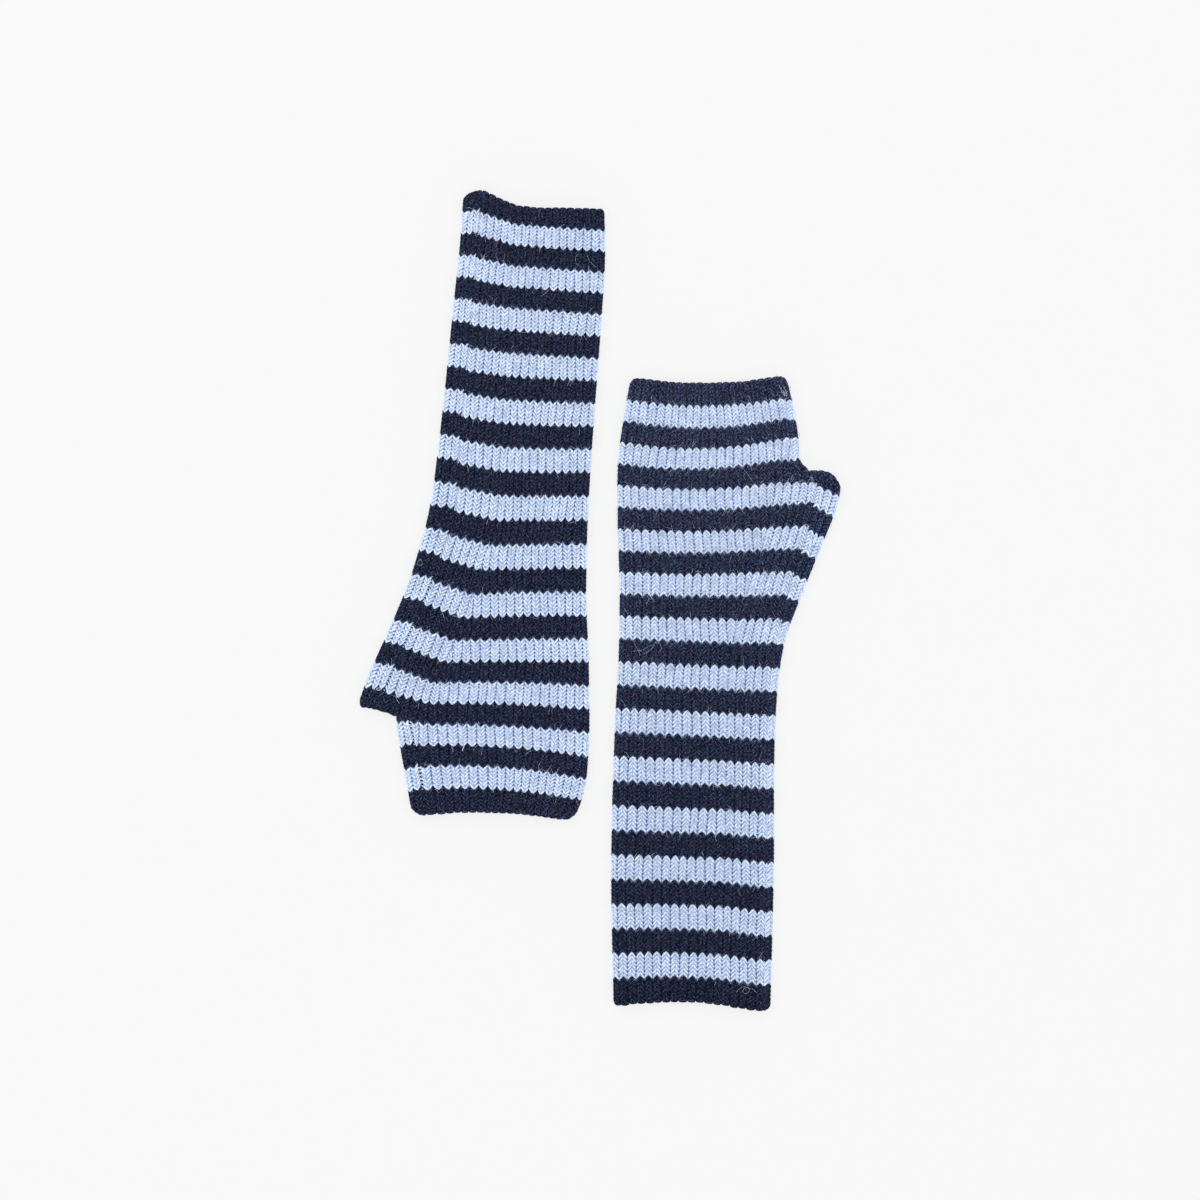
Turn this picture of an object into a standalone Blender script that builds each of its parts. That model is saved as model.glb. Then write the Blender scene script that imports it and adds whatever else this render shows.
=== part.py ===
"""A pair of long fingerless wrist warmers in 1x1 rib, laid flat beside each other.

Each warmer is one panel, knitted to shape. The panel is folded lengthwise at its outer side and its
two long edges are linked by a seam on the thumb side, so it lies as a flat tube that is open for the
fingers, for the thumb and at the forearm. New ribs start along a bend line below the thumb, where the
panel widens, and some ribs are bound off at the thumb's mouth.

The wall is a sheet with an outer and an inner skin. Its places are read across and along the knitting:
a course is one row of stitches, counted from the forearm end, and the ribs run from end to end. The
ribs stand up on the outer skin of the upper layer, the inner skin is plain, and the underside is flat.

Lengths are metres. In each lay table X runs from the outer fold to the thumb side and Y runs to the
fingers, from the corner where the outer fold meets the forearm end.
"""

import math
from collections import namedtuple

import bmesh
import bpy
import numpy as np

PAIR_NAME = "wrist_warmers"

LOWER_WALL = 0.0026
INNER_GAP = 0.0006
UPPER_WALL = 0.0028
HEIGHT = LOWER_WALL + INNER_GAP + UPPER_WALL
VALLEY_DEPTH = 0.0010
EDGE_ROUNDING = 0.0005
FOLD_REACH = 0.0028
SEAM_GAP = 0.0003

COURSES = 162
MOUTH_COURSE = 136
STRIPE_COURSES = 6
EDGE_COURSES = 0.7
RIB_GROWTH = 7.0
NEW_RIB_STARTS = 87.0 + RIB_GROWTH * np.arange(6)
ARM_COURSES = 12.4 * np.arange(1, 7)
HAND_COURSES = (138.5, 141.0, 144.0, 148.0, 152.5, 157.0)

RIB_POINTS = (0.0, 0.3, 0.7)
RIB_LEVELS = (0.0, 1.0, 1.0)
BACK_STEPS = (0.0, 0.25, 0.5, 0.75)
FOLD_ANGLES = np.radians((65.0, 35.0, 0.0, -35.0, -65.0))

NAVY = (0.012, 0.017, 0.040, 1.0)
LIGHT_BLUE = (0.41, 0.51, 0.80, 1.0)
WOOL_ROUGHNESS = 0.9

# A lay table has a row for some of the courses of the flat tube, as the knitting lies, and the other
# courses are read between them. The body runs from the outer fold to the bend line. Its sag is how far
# its middle lies towards the fingers, and its spread is how much narrower the ribs are at the fold. The
# band runs on from the bend line to the linked seam and the fold on the thumb side. The fold starts to
# turn down at its foot, which lies FOLD_REACH inside it.
Body = namedtuple("Body", "course outer_x outer_y bend_x bend_y sag spread")
Band = namedtuple("Band", "course seam_x seam_y foot_y fold_x fold_y")

RIGHT_BODY = (
    Body(0, -0.0007, 0.0000, 0.0503, -0.0006, 0.0013, 0.00),
    Body(33, -0.0018, 0.0645, 0.0520, 0.0631, 0.0000, 0.00),
    Body(69, 0.0001, 0.1342, 0.0533, 0.1319, 0.0000, 0.00),
    Body(85, 0.0017, 0.1638, 0.0543, 0.1617, 0.0000, 0.05),
    Body(93, 0.0021, 0.1784, 0.0571, 0.1765, 0.0000, 0.06),
    Body(105, 0.0022, 0.1993, 0.0641, 0.1989, -0.0006, 0.02),
    Body(117, 0.0015, 0.2199, 0.0709, 0.2204, -0.0013, 0.02),
    Body(129, 0.0012, 0.2406, 0.0757, 0.2416, -0.0020, 0.00),
    Body(136, 0.0013, 0.2525, 0.0760, 0.2541, -0.0028, -0.02),
    Body(141, 0.0018, 0.2610, 0.0756, 0.2625, -0.0033, -0.03),
    Body(153, 0.0047, 0.2810, 0.0736, 0.2810, -0.0028, -0.02),
    Body(162, 0.0074, 0.2962, 0.0708, 0.2959, -0.0013, -0.02),
)
RIGHT_ARM_BAND = (
    Band(0, 0.0703, -0.0031, -0.0032, 0.0739, -0.0022),
    Band(33, 0.0719, 0.0608, 0.0607, 0.0755, 0.0606),
    Band(69, 0.0726, 0.1309, 0.1308, 0.0762, 0.1306),
    Band(85, 0.0750, 0.1613, 0.1611, 0.0786, 0.1604),
    Band(93, 0.0780, 0.1767, 0.1760, 0.0817, 0.1748),
    Band(105, 0.0831, 0.1993, 0.1974, 0.0893, 0.1948),
    Band(117, 0.0903, 0.2211, 0.2182, 0.0974, 0.2150),
    Band(129, 0.0957, 0.2420, 0.2388, 0.1050, 0.2345),
    Band(136, 0.0978, 0.2534, 0.2508, 0.1067, 0.2462),
)
RIGHT_HAND_BAND = (
    Band(136, 0.0891, 0.2537, 0.2540, 0.0927, 0.2539),
    Band(138.5, 0.0856, 0.2580, 0.2578, 0.0892, 0.2568),
    Band(141, 0.0840, 0.2635, 0.2634, 0.0876, 0.2628),
    Band(153, 0.0817, 0.2833, 0.2834, 0.0853, 0.2832),
    Band(162, 0.0782, 0.2966, 0.2966, 0.0818, 0.2956),
)
LEFT_BODY = (
    Body(0, 0.0002, 0.0000, 0.0420, -0.0028, 0.0003, -0.05),
    Body(33, 0.0010, 0.0549, 0.0458, 0.0520, 0.0000, -0.05),
    Body(69, 0.0065, 0.1192, 0.0498, 0.1185, 0.0004, -0.05),
    Body(85, 0.0082, 0.1494, 0.0520, 0.1496, 0.0000, 0.00),
    Body(93, 0.0086, 0.1646, 0.0573, 0.1653, 0.0000, -0.02),
    Body(105, 0.0088, 0.1874, 0.0650, 0.1885, -0.0006, 0.04),
    Body(117, 0.0078, 0.2092, 0.0735, 0.2098, 0.0000, 0.08),
    Body(129, 0.0074, 0.2316, 0.0826, 0.2297, -0.0010, 0.08),
    Body(136, 0.0073, 0.2444, 0.0840, 0.2412, -0.0009, 0.12),
    Body(141, 0.0076, 0.2539, 0.0840, 0.2496, -0.0014, 0.14),
    Body(153, 0.0095, 0.2755, 0.0822, 0.2698, -0.0021, 0.08),
    Body(162, 0.0143, 0.2893, 0.0795, 0.2864, -0.0014, 0.06),
)
LEFT_ARM_BAND = (
    Band(0, 0.0582, -0.0090, -0.0078, 0.0675, -0.0012),
    Band(33, 0.0633, 0.0494, 0.0480, 0.0721, 0.0468),
    Band(69, 0.0691, 0.1150, 0.1127, 0.0796, 0.1114),
    Band(85, 0.0715, 0.1451, 0.1426, 0.0837, 0.1413),
    Band(93, 0.0762, 0.1601, 0.1571, 0.0867, 0.1555),
    Band(105, 0.0843, 0.1817, 0.1793, 0.0936, 0.1776),
    Band(117, 0.0936, 0.2031, 0.2010, 0.1026, 0.1992),
    Band(129, 0.1024, 0.2228, 0.2212, 0.1116, 0.2192),
    Band(136, 0.1083, 0.2368, 0.2354, 0.1157, 0.2344),
)
LEFT_HAND_BAND = (
    Band(136, 0.0937, 0.2394, 0.2395, 0.0993, 0.2393),
    Band(141, 0.0912, 0.2489, 0.2493, 0.0982, 0.2494),
    Band(153, 0.0872, 0.2705, 0.2712, 0.0945, 0.2711),
    Band(162, 0.0846, 0.2869, 0.2868, 0.0919, 0.2850),
)

# How a warmer is laid: its tables, the ribs of the upper layer from the outer fold to the bend line,
# the ribs between the bend line and the seam that go on into the hand and that are bound off at the
# thumb, the courses where the first of these end beside the seam, the first courses of the ribs between
# the seam and the fold, below the mouth and in the hand, and the warmer's place and turn on the surface.
Lay = namedtuple(
    "Lay",
    "name body arm_band hand_band body_ribs kept_ribs bound_ribs kept_ends wrap_starts hand_wrap_starts"
    " place turn",
)

RIGHT = Lay(
    name="right_warmer_panel",
    body=RIGHT_BODY,
    arm_band=RIGHT_ARM_BAND,
    hand_band=RIGHT_HAND_BAND,
    body_ribs=12,
    kept_ribs=3,
    bound_ribs=2,
    kept_ends=(math.inf, math.inf, 143.0),
    wrap_starts=(94.0, 115.0),
    hand_wrap_starts=(),
    place=(0.0069, -0.19135),
    turn=0.0,
)
LEFT = Lay(
    name="left_warmer_panel",
    body=LEFT_BODY,
    arm_band=LEFT_ARM_BAND,
    hand_band=LEFT_HAND_BAND,
    body_ribs=11,
    kept_ribs=2,
    bound_ribs=3,
    kept_ends=(math.inf, 146.0),
    wrap_starts=(-7.0, -7.0),
    hand_wrap_starts=(130.0,),
    place=(0.0021, 0.18555),
    turn=math.pi,
)


def read_rows(table, courses):
    """Each column of a lay table at the courses, on smooth curves through the table's rows.

    The curves are cubic Hermite ones. The slope at a row is the mean of the slopes beside it.
    """
    data = np.array(table)
    knots, values = data[:, 0], data[:, 1:]
    steps = np.diff(knots)[:, None]
    slopes = np.diff(values, axis=0) / steps
    tangents = np.vstack([slopes[:1], (slopes[:-1] + slopes[1:]) / 2, slopes[-1:]])
    at = np.clip(np.searchsorted(knots, courses, side="right") - 1, 0, len(knots) - 2)
    t = (np.asarray(courses)[:, None] - knots[at, None]) / steps[at]
    start, end = values[at], values[at + 1]
    lean = steps[at] * (tangents[at] * t * (1 - t) ** 2 - tangents[at + 1] * t**2 * (1 - t))
    curves = start + (end - start) * t**2 * (3 - 2 * t) + lean
    return [type(table[0])(course, *row) for course, row in zip(courses, curves)]


def grown(starts, course):
    """The width of each rib at a course, as a share of a full rib: 0 at its start, then growing to 1."""
    return np.clip((course - np.asarray(starts, float)) / RIB_GROWTH, 0.0, 1.0)


def shrunk(ends, course):
    """The width of each rib at a course, as a share of a full rib: it shrinks to 0 at the rib's end."""
    return np.clip((np.asarray(ends, float) - course) / RIB_GROWTH, 0.0, 1.0)


def rib_profile(widths):
    """Shares across a zone and levels of the points of its ribs: a valley and two shoulders for each."""
    if not len(widths):
        return np.zeros(1), np.zeros(1)
    edges = np.concatenate([[0.0], np.cumsum(widths)]) / max(widths.sum(), 1e-9)
    shares = edges[:-1, None] + np.diff(edges)[:, None] * np.array(RIB_POINTS)
    levels = np.minimum(widths, 1.0)[:, None] * np.array(RIB_LEVELS)
    return shares.ravel(), levels.ravel()


def across(start, end, shares, sag=0.0, spread=0.0):
    """Places on a course between two of its points. The sag bends them and the spread crowds them."""
    start, end, shares = np.array(start), np.array(end), np.asarray(shares)[:, None]
    shares = shares - spread * shares * (1 - shares)
    return start + (end - start) * shares + np.array((0.0, sag)) * 4 * shares * (1 - shares)


def skin_points(places, outer_z, inner_z):
    """Outer and inner points above the same places."""
    count = len(places)
    outer = np.column_stack([places, np.broadcast_to(outer_z, count)])
    return outer, np.column_stack([places, np.broadcast_to(inner_z, count)])


def fold_points(foot, edge):
    """Outer and inner points round a fold, from the upper layer down.

    The outer skin is half an ellipse from the fold's foot to the edge, and the inner skin is a half
    circle as wide as the gap between the layers.
    """
    foot, reach = np.array(foot), np.array(edge) - np.array(foot)
    cosines, sines = np.cos(FOLD_ANGLES)[:, None], np.sin(FOLD_ANGLES)
    outer = np.column_stack([foot + reach * cosines, HEIGHT / 2 * (1 + sines)])
    inner_reach = reach / np.linalg.norm(reach) * INNER_GAP / 2
    return outer, np.column_stack([foot + inner_reach * cosines, LOWER_WALL + INNER_GAP / 2 * (1 + sines)])


def ring(body, band, lay, kept, wrap, back_shares):
    """Outer and inner points once round the tube at a course, from one side of the seam to the other.

    They run over the upper layer to the outer fold, back along the lower layer, round the thumb-side
    fold and over it to the seam. Kept and wrap are the widths of the ribs between the bend line and the
    seam and between the seam and the fold. The back shares are the places between the bend line and the
    fold's foot where the lower layer has points.
    """
    crest_z = HEIGHT - (EDGE_ROUNDING if body.course in (0, COURSES) else 0.0)
    outer_edge, bend = (body.outer_x, body.outer_y), (body.bend_x, body.bend_y)
    outer_foot = (body.outer_x + FOLD_REACH, body.outer_y)
    seam, seam_far = (band.seam_x, band.seam_y), (band.seam_x + SEAM_GAP, band.seam_y)
    fold_foot = (band.fold_x - FOLD_REACH, band.foot_y)

    body_widths = np.concatenate([np.ones(lay.body_ribs), grown(NEW_RIB_STARTS, body.course)])
    body_shares, body_levels = rib_profile(body_widths)
    kept_shares, kept_levels = rib_profile(kept)
    wrap_shares, wrap_levels = rib_profile(wrap)
    body_places = across(outer_foot, bend, body_shares, body.sag, body.spread)
    front = np.vstack([body_places, across(bend, seam, kept_shares), [seam]])
    front_z = crest_z - VALLEY_DEPTH * (1 - np.concatenate([body_levels, kept_levels, [0.0]]))
    back = np.vstack(
        [across(outer_foot, bend, BACK_STEPS, body.sag), across(bend, seam, back_shares), [fold_foot]]
    )
    over = np.vstack([across(seam_far, fold_foot, wrap_shares), [fold_foot]])
    over_z = crest_z - VALLEY_DEPTH * (1 - np.append(wrap_levels, 0.0))
    parts = (
        skin_points(front[::-1], front_z[::-1], LOWER_WALL + INNER_GAP),
        fold_points(outer_foot, outer_edge),
        skin_points(back, 0.0, LOWER_WALL),
        tuple(skin[::-1] for skin in fold_points(fold_foot, (band.fold_x, band.fold_y))),
        skin_points(over[::-1], over_z[::-1], LOWER_WALL + INNER_GAP),
    )
    return [np.vstack(skin) for skin in zip(*parts)]


def arm_courses():
    """The courses that the forearm and thumb part is lofted through. Each new rib starts on one of them."""
    last_full = NEW_RIB_STARTS[-1] + RIB_GROWTH
    mouth = (last_full, (last_full + MOUTH_COURSE) / 2, MOUTH_COURSE)
    return np.concatenate([(0.0, EDGE_COURSES), ARM_COURSES, NEW_RIB_STARTS, mouth])


def hand_courses():
    """The courses that the hand part is lofted through."""
    return np.array([MOUTH_COURSE, *HAND_COURSES, COURSES - EDGE_COURSES, COURSES])


def grid_faces(grid):
    """Four-sided faces between neighbouring points of a grid of point numbers."""
    return np.stack([grid[:-1, :-1], grid[:-1, 1:], grid[1:, 1:], grid[1:, :-1]], axis=-1).reshape(-1, 4)


def open_edges(faces):
    """The directed edges that belong to one face only."""
    edges = np.concatenate([faces[:, [i, (i + 1) % 4]] for i in range(4)])
    _, where, uses = np.unique(np.sort(edges, axis=1), axis=0, return_inverse=True, return_counts=True)
    return edges[uses[where.ravel()] == 1]


def panel_skins(lay):
    """The panel's outer points, inner points, courses and faces, in the warmer's own lay frame.

    The forearm and thumb part and the hand part are grids of rings. The hand's first ring shares the
    points between the crotch of the thumb and the outer fold with the last ring below it. Its other
    points are its own, so the thumb's mouth stays open.
    """
    band_ribs = lay.kept_ribs + lay.bound_ribs
    crotch = lay.kept_ribs / band_ribs
    arm = [
        ring(body, band, lay, np.ones(band_ribs), grown(lay.wrap_starts, body.course), (0.0, crotch, 1.0))
        for body, band in zip(read_rows(lay.body, arm_courses()), read_rows(lay.arm_band, arm_courses()))
    ]
    hand = [
        ring(
            body,
            band,
            lay,
            shrunk(lay.kept_ends, body.course),
            grown(lay.hand_wrap_starts, body.course),
            (0.0, 1.0),
        )
        for body, band in zip(read_rows(lay.body, hand_courses()), read_rows(lay.hand_band, hand_courses()))
    ]
    arm_columns, hand_columns = len(arm[0][0]), len(hand[0][0])
    arm_grid = np.arange(len(arm) * arm_columns).reshape(len(arm), arm_columns)
    hand_grid = arm_grid.size + np.arange(len(hand) * hand_columns).reshape(len(hand), hand_columns)

    points_per_rib = len(RIB_POINTS)
    bound_points = lay.bound_ribs * points_per_rib
    front_points = (lay.kept_ribs + lay.body_ribs + len(NEW_RIB_STARTS)) * points_per_rib + 1
    shared = front_points + len(FOLD_ANGLES) + len(BACK_STEPS) + 2
    hand_grid[0, :shared] = arm_grid[-1, bound_points : bound_points + shared]

    outer = np.vstack([skins[0] for skins in arm + hand])
    inner = np.vstack([skins[1] for skins in arm + hand])
    counts = [arm_columns] * len(arm) + [hand_columns] * len(hand)
    courses = np.repeat(np.concatenate([arm_courses(), hand_courses()]), counts)
    return outer, inner, courses, np.concatenate([grid_faces(arm_grid), grid_faces(hand_grid)])


def laid(points, lay):
    """Points of the warmer's own lay frame, turned and moved to their place on the surface."""
    cosine, sine = math.cos(lay.turn), math.sin(lay.turn)
    turned = points @ np.array(((cosine, sine, 0.0), (-sine, cosine, 0.0), (0.0, 0.0, 1.0)))
    return turned + np.array((*lay.place, 0.0))


def wool_material(name):
    """Striped wool. The stripes follow the courses, which the mesh keeps as a value at each point."""
    material = bpy.data.materials.new(name)
    material.use_nodes = True
    nodes, links = material.node_tree.nodes, material.node_tree.links
    shader = nodes["Principled BSDF"]
    shader.inputs["Roughness"].default_value = WOOL_ROUGHNESS
    shader.inputs["Metallic"].default_value = 0.0
    course = nodes.new("ShaderNodeAttribute")
    course.attribute_name = "course"
    stripe = nodes.new("ShaderNodeMath")
    stripe.operation = "PINGPONG"
    stripe.inputs[1].default_value = STRIPE_COURSES
    shifted = nodes.new("ShaderNodeMath")
    shifted.operation = "ADD"
    shifted.inputs[1].default_value = STRIPE_COURSES / 2
    is_light = nodes.new("ShaderNodeMath")
    is_light.operation = "GREATER_THAN"
    is_light.inputs[1].default_value = STRIPE_COURSES / 2
    mix = nodes.new("ShaderNodeMix")
    mix.data_type = "RGBA"
    mix.inputs["A"].default_value = LIGHT_BLUE
    mix.inputs["B"].default_value = NAVY
    links.new(course.outputs["Fac"], shifted.inputs[0])
    links.new(shifted.outputs["Value"], stripe.inputs[0])
    links.new(stripe.outputs["Value"], is_light.inputs[0])
    links.new(is_light.outputs["Value"], mix.inputs["Factor"])
    links.new(mix.outputs["Result"], shader.inputs["Base Color"])
    return material


def make_panel(lay, collection):
    """The closed wall of one warmer: its two skins, joined along every open edge of the sheet."""
    outer, inner, courses, faces = panel_skins(lay)
    count = len(outer)
    rim = open_edges(faces)
    rim_faces = np.column_stack([rim[:, 1], rim[:, 0], rim[:, 0] + count, rim[:, 1] + count])
    all_faces = np.concatenate([faces, faces[:, ::-1] + count, rim_faces])
    mesh = bpy.data.meshes.new(lay.name)
    mesh.from_pydata(laid(np.vstack([outer, inner]), lay).tolist(), [], all_faces.tolist())
    attribute = mesh.attributes.new("course", "FLOAT", "POINT")
    attribute.data.foreach_set("value", np.concatenate([courses, courses]))

    shell = bmesh.new()
    shell.from_mesh(mesh)
    loose = [vert for vert in shell.verts if not vert.link_faces]
    bmesh.ops.delete(shell, geom=loose, context="VERTS")
    bmesh.ops.remove_doubles(shell, verts=shell.verts, dist=1e-6)
    bmesh.ops.recalc_face_normals(shell, faces=shell.faces)
    shell.to_mesh(mesh)
    shell.free()
    mesh.shade_smooth()
    mesh.set_sharp_from_angle(angle=math.radians(50.0))
    mesh.materials.append(wool_material(f"{lay.name}_wool"))
    panel = bpy.data.objects.new(lay.name, mesh)
    collection.objects.link(panel)
    return panel


def main():
    """Clears the scene and builds the pair."""
    for old in list(bpy.data.objects):
        bpy.data.objects.remove(old)
    collection = bpy.data.collections.new(PAIR_NAME)
    bpy.context.scene.collection.children.link(collection)
    for lay in (LEFT, RIGHT):
        make_panel(lay, collection)


main()
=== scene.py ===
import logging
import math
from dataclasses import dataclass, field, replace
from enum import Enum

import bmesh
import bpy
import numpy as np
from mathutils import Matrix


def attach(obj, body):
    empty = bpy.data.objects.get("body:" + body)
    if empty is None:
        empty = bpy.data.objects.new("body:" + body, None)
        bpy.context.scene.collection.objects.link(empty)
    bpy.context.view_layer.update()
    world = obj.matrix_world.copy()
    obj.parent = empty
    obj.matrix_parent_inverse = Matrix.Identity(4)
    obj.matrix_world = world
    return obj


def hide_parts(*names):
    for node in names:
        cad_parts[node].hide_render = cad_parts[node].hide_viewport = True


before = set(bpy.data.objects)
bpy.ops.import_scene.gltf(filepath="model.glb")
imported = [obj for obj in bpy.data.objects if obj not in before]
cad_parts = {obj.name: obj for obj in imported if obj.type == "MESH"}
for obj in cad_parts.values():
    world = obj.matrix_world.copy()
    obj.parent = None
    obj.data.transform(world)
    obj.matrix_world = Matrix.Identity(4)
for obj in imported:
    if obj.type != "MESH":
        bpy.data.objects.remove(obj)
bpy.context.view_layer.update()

# A pair of long fingerless wrist warmers in striped 1x1 rib, laid flat beside each other. Each is one
# knitted panel, folded along its outer side and linked by a seam on the thumb side, so it is a flat tube.
#
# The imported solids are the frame. Each panel's solid is replaced by a finer wall of the same cloth. On the
# wall lies every stitch of the rib, as two bent strands of yarn that meet towards the fingers, and over
# the stitches lies the fuzz of the brushed wool.
#
# Places are read as the knitting counts them: a course is one row of stitches from the forearm end, a rib
# is one column, a fraction is how far across its rib a place lies, and a depth is how far below the
# cloth's outside. Lengths are metres.

Array = np.ndarray
Pair = tuple[float, float]
Colour = tuple[float, float, float]
Material = bpy.types.Material
Piece = bpy.types.Object
Socket = bpy.types.NodeSocket

# The cloth as it lies: the pair's height, the lower layer's thickness, the gap between the layers, how far
# a fold reaches in and how far it stands proud, the gap at the seam, and the length of a course.
HEIGHT = 0.006
LOWER_WALL = 0.0026
INNER_GAP = 0.0006
FOLD_REACH = 0.0028
FOLD_PROUD = 0.0004
SEAM_GAP = 0.0003
COURSE_LENGTH = 0.00186

# The knitting: its courses, the course of the thumb's mouth, the courses of a stripe, those over which a
# place follows the edge beside it, those over which the stripes begin to slip at the seam, and those over
# which a rib grows. Then where the new ribs start, and the ribs round a fold and, at most, in a stretch.
COURSES = 162
MOUTH_COURSE = 136
STRIPE_COURSES = 6
EDGE_COURSES = 9.0
SLIP_COURSES = 4.0
RIB_GROWTH = 7.0
NEW_RIB_STARTS = np.array((87.0, 94.0, 101.0, 108.0, 115.0, 122.0))
FOLD_RIBS = 2
MOST_RIBS = 32

# How far past an edge its nearness still grows, and how far a course keeps from the ends of the cloth.
PAST_EDGE = 1.1
END_MARGIN = 0.01

# The slow waves of the ribs' widths: how many, their lengths in courses, and what their sum is divided by.
WAVES = 3
WAVE_COURSES = (22, 60)
WAVE_SHARE = 1.7

# What counts as nothing: a width of ribs, a length between two points, and the length of a vector.
NO_WIDTH = 1e-6
NO_LENGTH = 1e-6
NO_VECTOR = 1e-12
NO_TRIANGLES = np.zeros((0, 3), int)

NOISE_ROUGHNESS = 0.6
PLAIN_DETAIL = 2.0
FINE_DETAIL = 3.0

log = logging.getLogger("warmers")


class Stretch(Enum):
    """A stretch of ribs round a warmer, from the outer fold to the fold on the thumb side."""

    BODY = "outer fold to bend line"
    BAND = "bend line to seam"
    WRAP = "seam to thumb-side fold"
    OUTER_FOLD = "round the outer fold"
    THUMB_FOLD = "round the thumb-side fold"


class Part(Enum):
    """The forearm part and the hand part, as first and last course. The thumb's mouth opens between."""

    ARM = (0, MOUTH_COURSE)
    HAND = (MOUTH_COURSE, COURSES)


class Layer(Enum):
    """The two layers of the flat tube. The value is the way that the layer faces."""

    UPPER = 1.0
    UNDER = -1.0


class Yarn(Enum):
    """The two yarns of the stripes."""

    NAVY = "navy"
    BLUE = "blue"


def is_blue(courses: Array) -> Array:
    """Which courses are in a blue stripe."""
    return (courses // STRIPE_COURSES) % 2 == 1


def along_courses(ends: Pair, courses: Array) -> Array:
    """A value at each course, which changes evenly from the forearm end to the finger end."""
    return ends[0] + (ends[1] - ends[0]) * courses / COURSES


def unit(vectors: Array) -> Array:
    """Vectors made one unit long."""
    return vectors / np.maximum(np.linalg.norm(vectors, axis=-1, keepdims=True), NO_VECTOR)


@dataclass(frozen=True)
class Patch:
    """Some ribs of one stretch, part and layer, from a first course to the last.

    The carried ribs are the first ones, as many as go on past the last course.
    """

    stretch: Stretch
    part: Part
    layer: Layer
    first: int = 0
    last: int = COURSES
    ribs: int = FOLD_RIBS
    carried: int = 0

    @property
    def is_fold(self) -> bool:
        """Whether the patch runs round a fold."""
        return self.stretch in (Stretch.OUTER_FOLD, Stretch.THUMB_FOLD)


@dataclass(frozen=True)
class Places:
    """Places of a patch: the course, rib, fraction and depth of each, as flat arrays."""

    patch: Patch
    courses: Array
    ribs: Array
    fractions: Array
    depths: Array


@dataclass(frozen=True)
class Table:
    """Rows of a lay table: a course, then places and measures of the flat tube at that course."""

    rows: tuple[tuple[float, ...], ...]

    def at(self, courses: Array) -> Array:
        """Reads the table at any courses.

        Each column follows cubic Hermite curves through its rows. The slope at a row is the mean of the
        slopes beside it.

        Args:
            courses: The courses, as a flat array.

        Returns:
            One line for each course, with the table's columns after the first.
        """
        data = np.array(self.rows)
        knots, values = data[:, 0], data[:, 1:]
        steps = np.diff(knots)[:, None]
        slopes = np.diff(values, axis=0) / steps
        tangents = np.vstack([slopes[:1], (slopes[:-1] + slopes[1:]) / 2, slopes[-1:]])
        row = np.clip(np.searchsorted(knots, courses, side="right") - 1, 0, len(knots) - 2)
        t = (courses[:, None] - knots[row, None]) / steps[row]
        lean = steps[row] * (tangents[row] * t * (1 - t) ** 2 - tangents[row + 1] * t**2 * (1 - t))
        return values[row] + (values[row + 1] - values[row]) * t**2 * (3 - 2 * t) + lean


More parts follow.
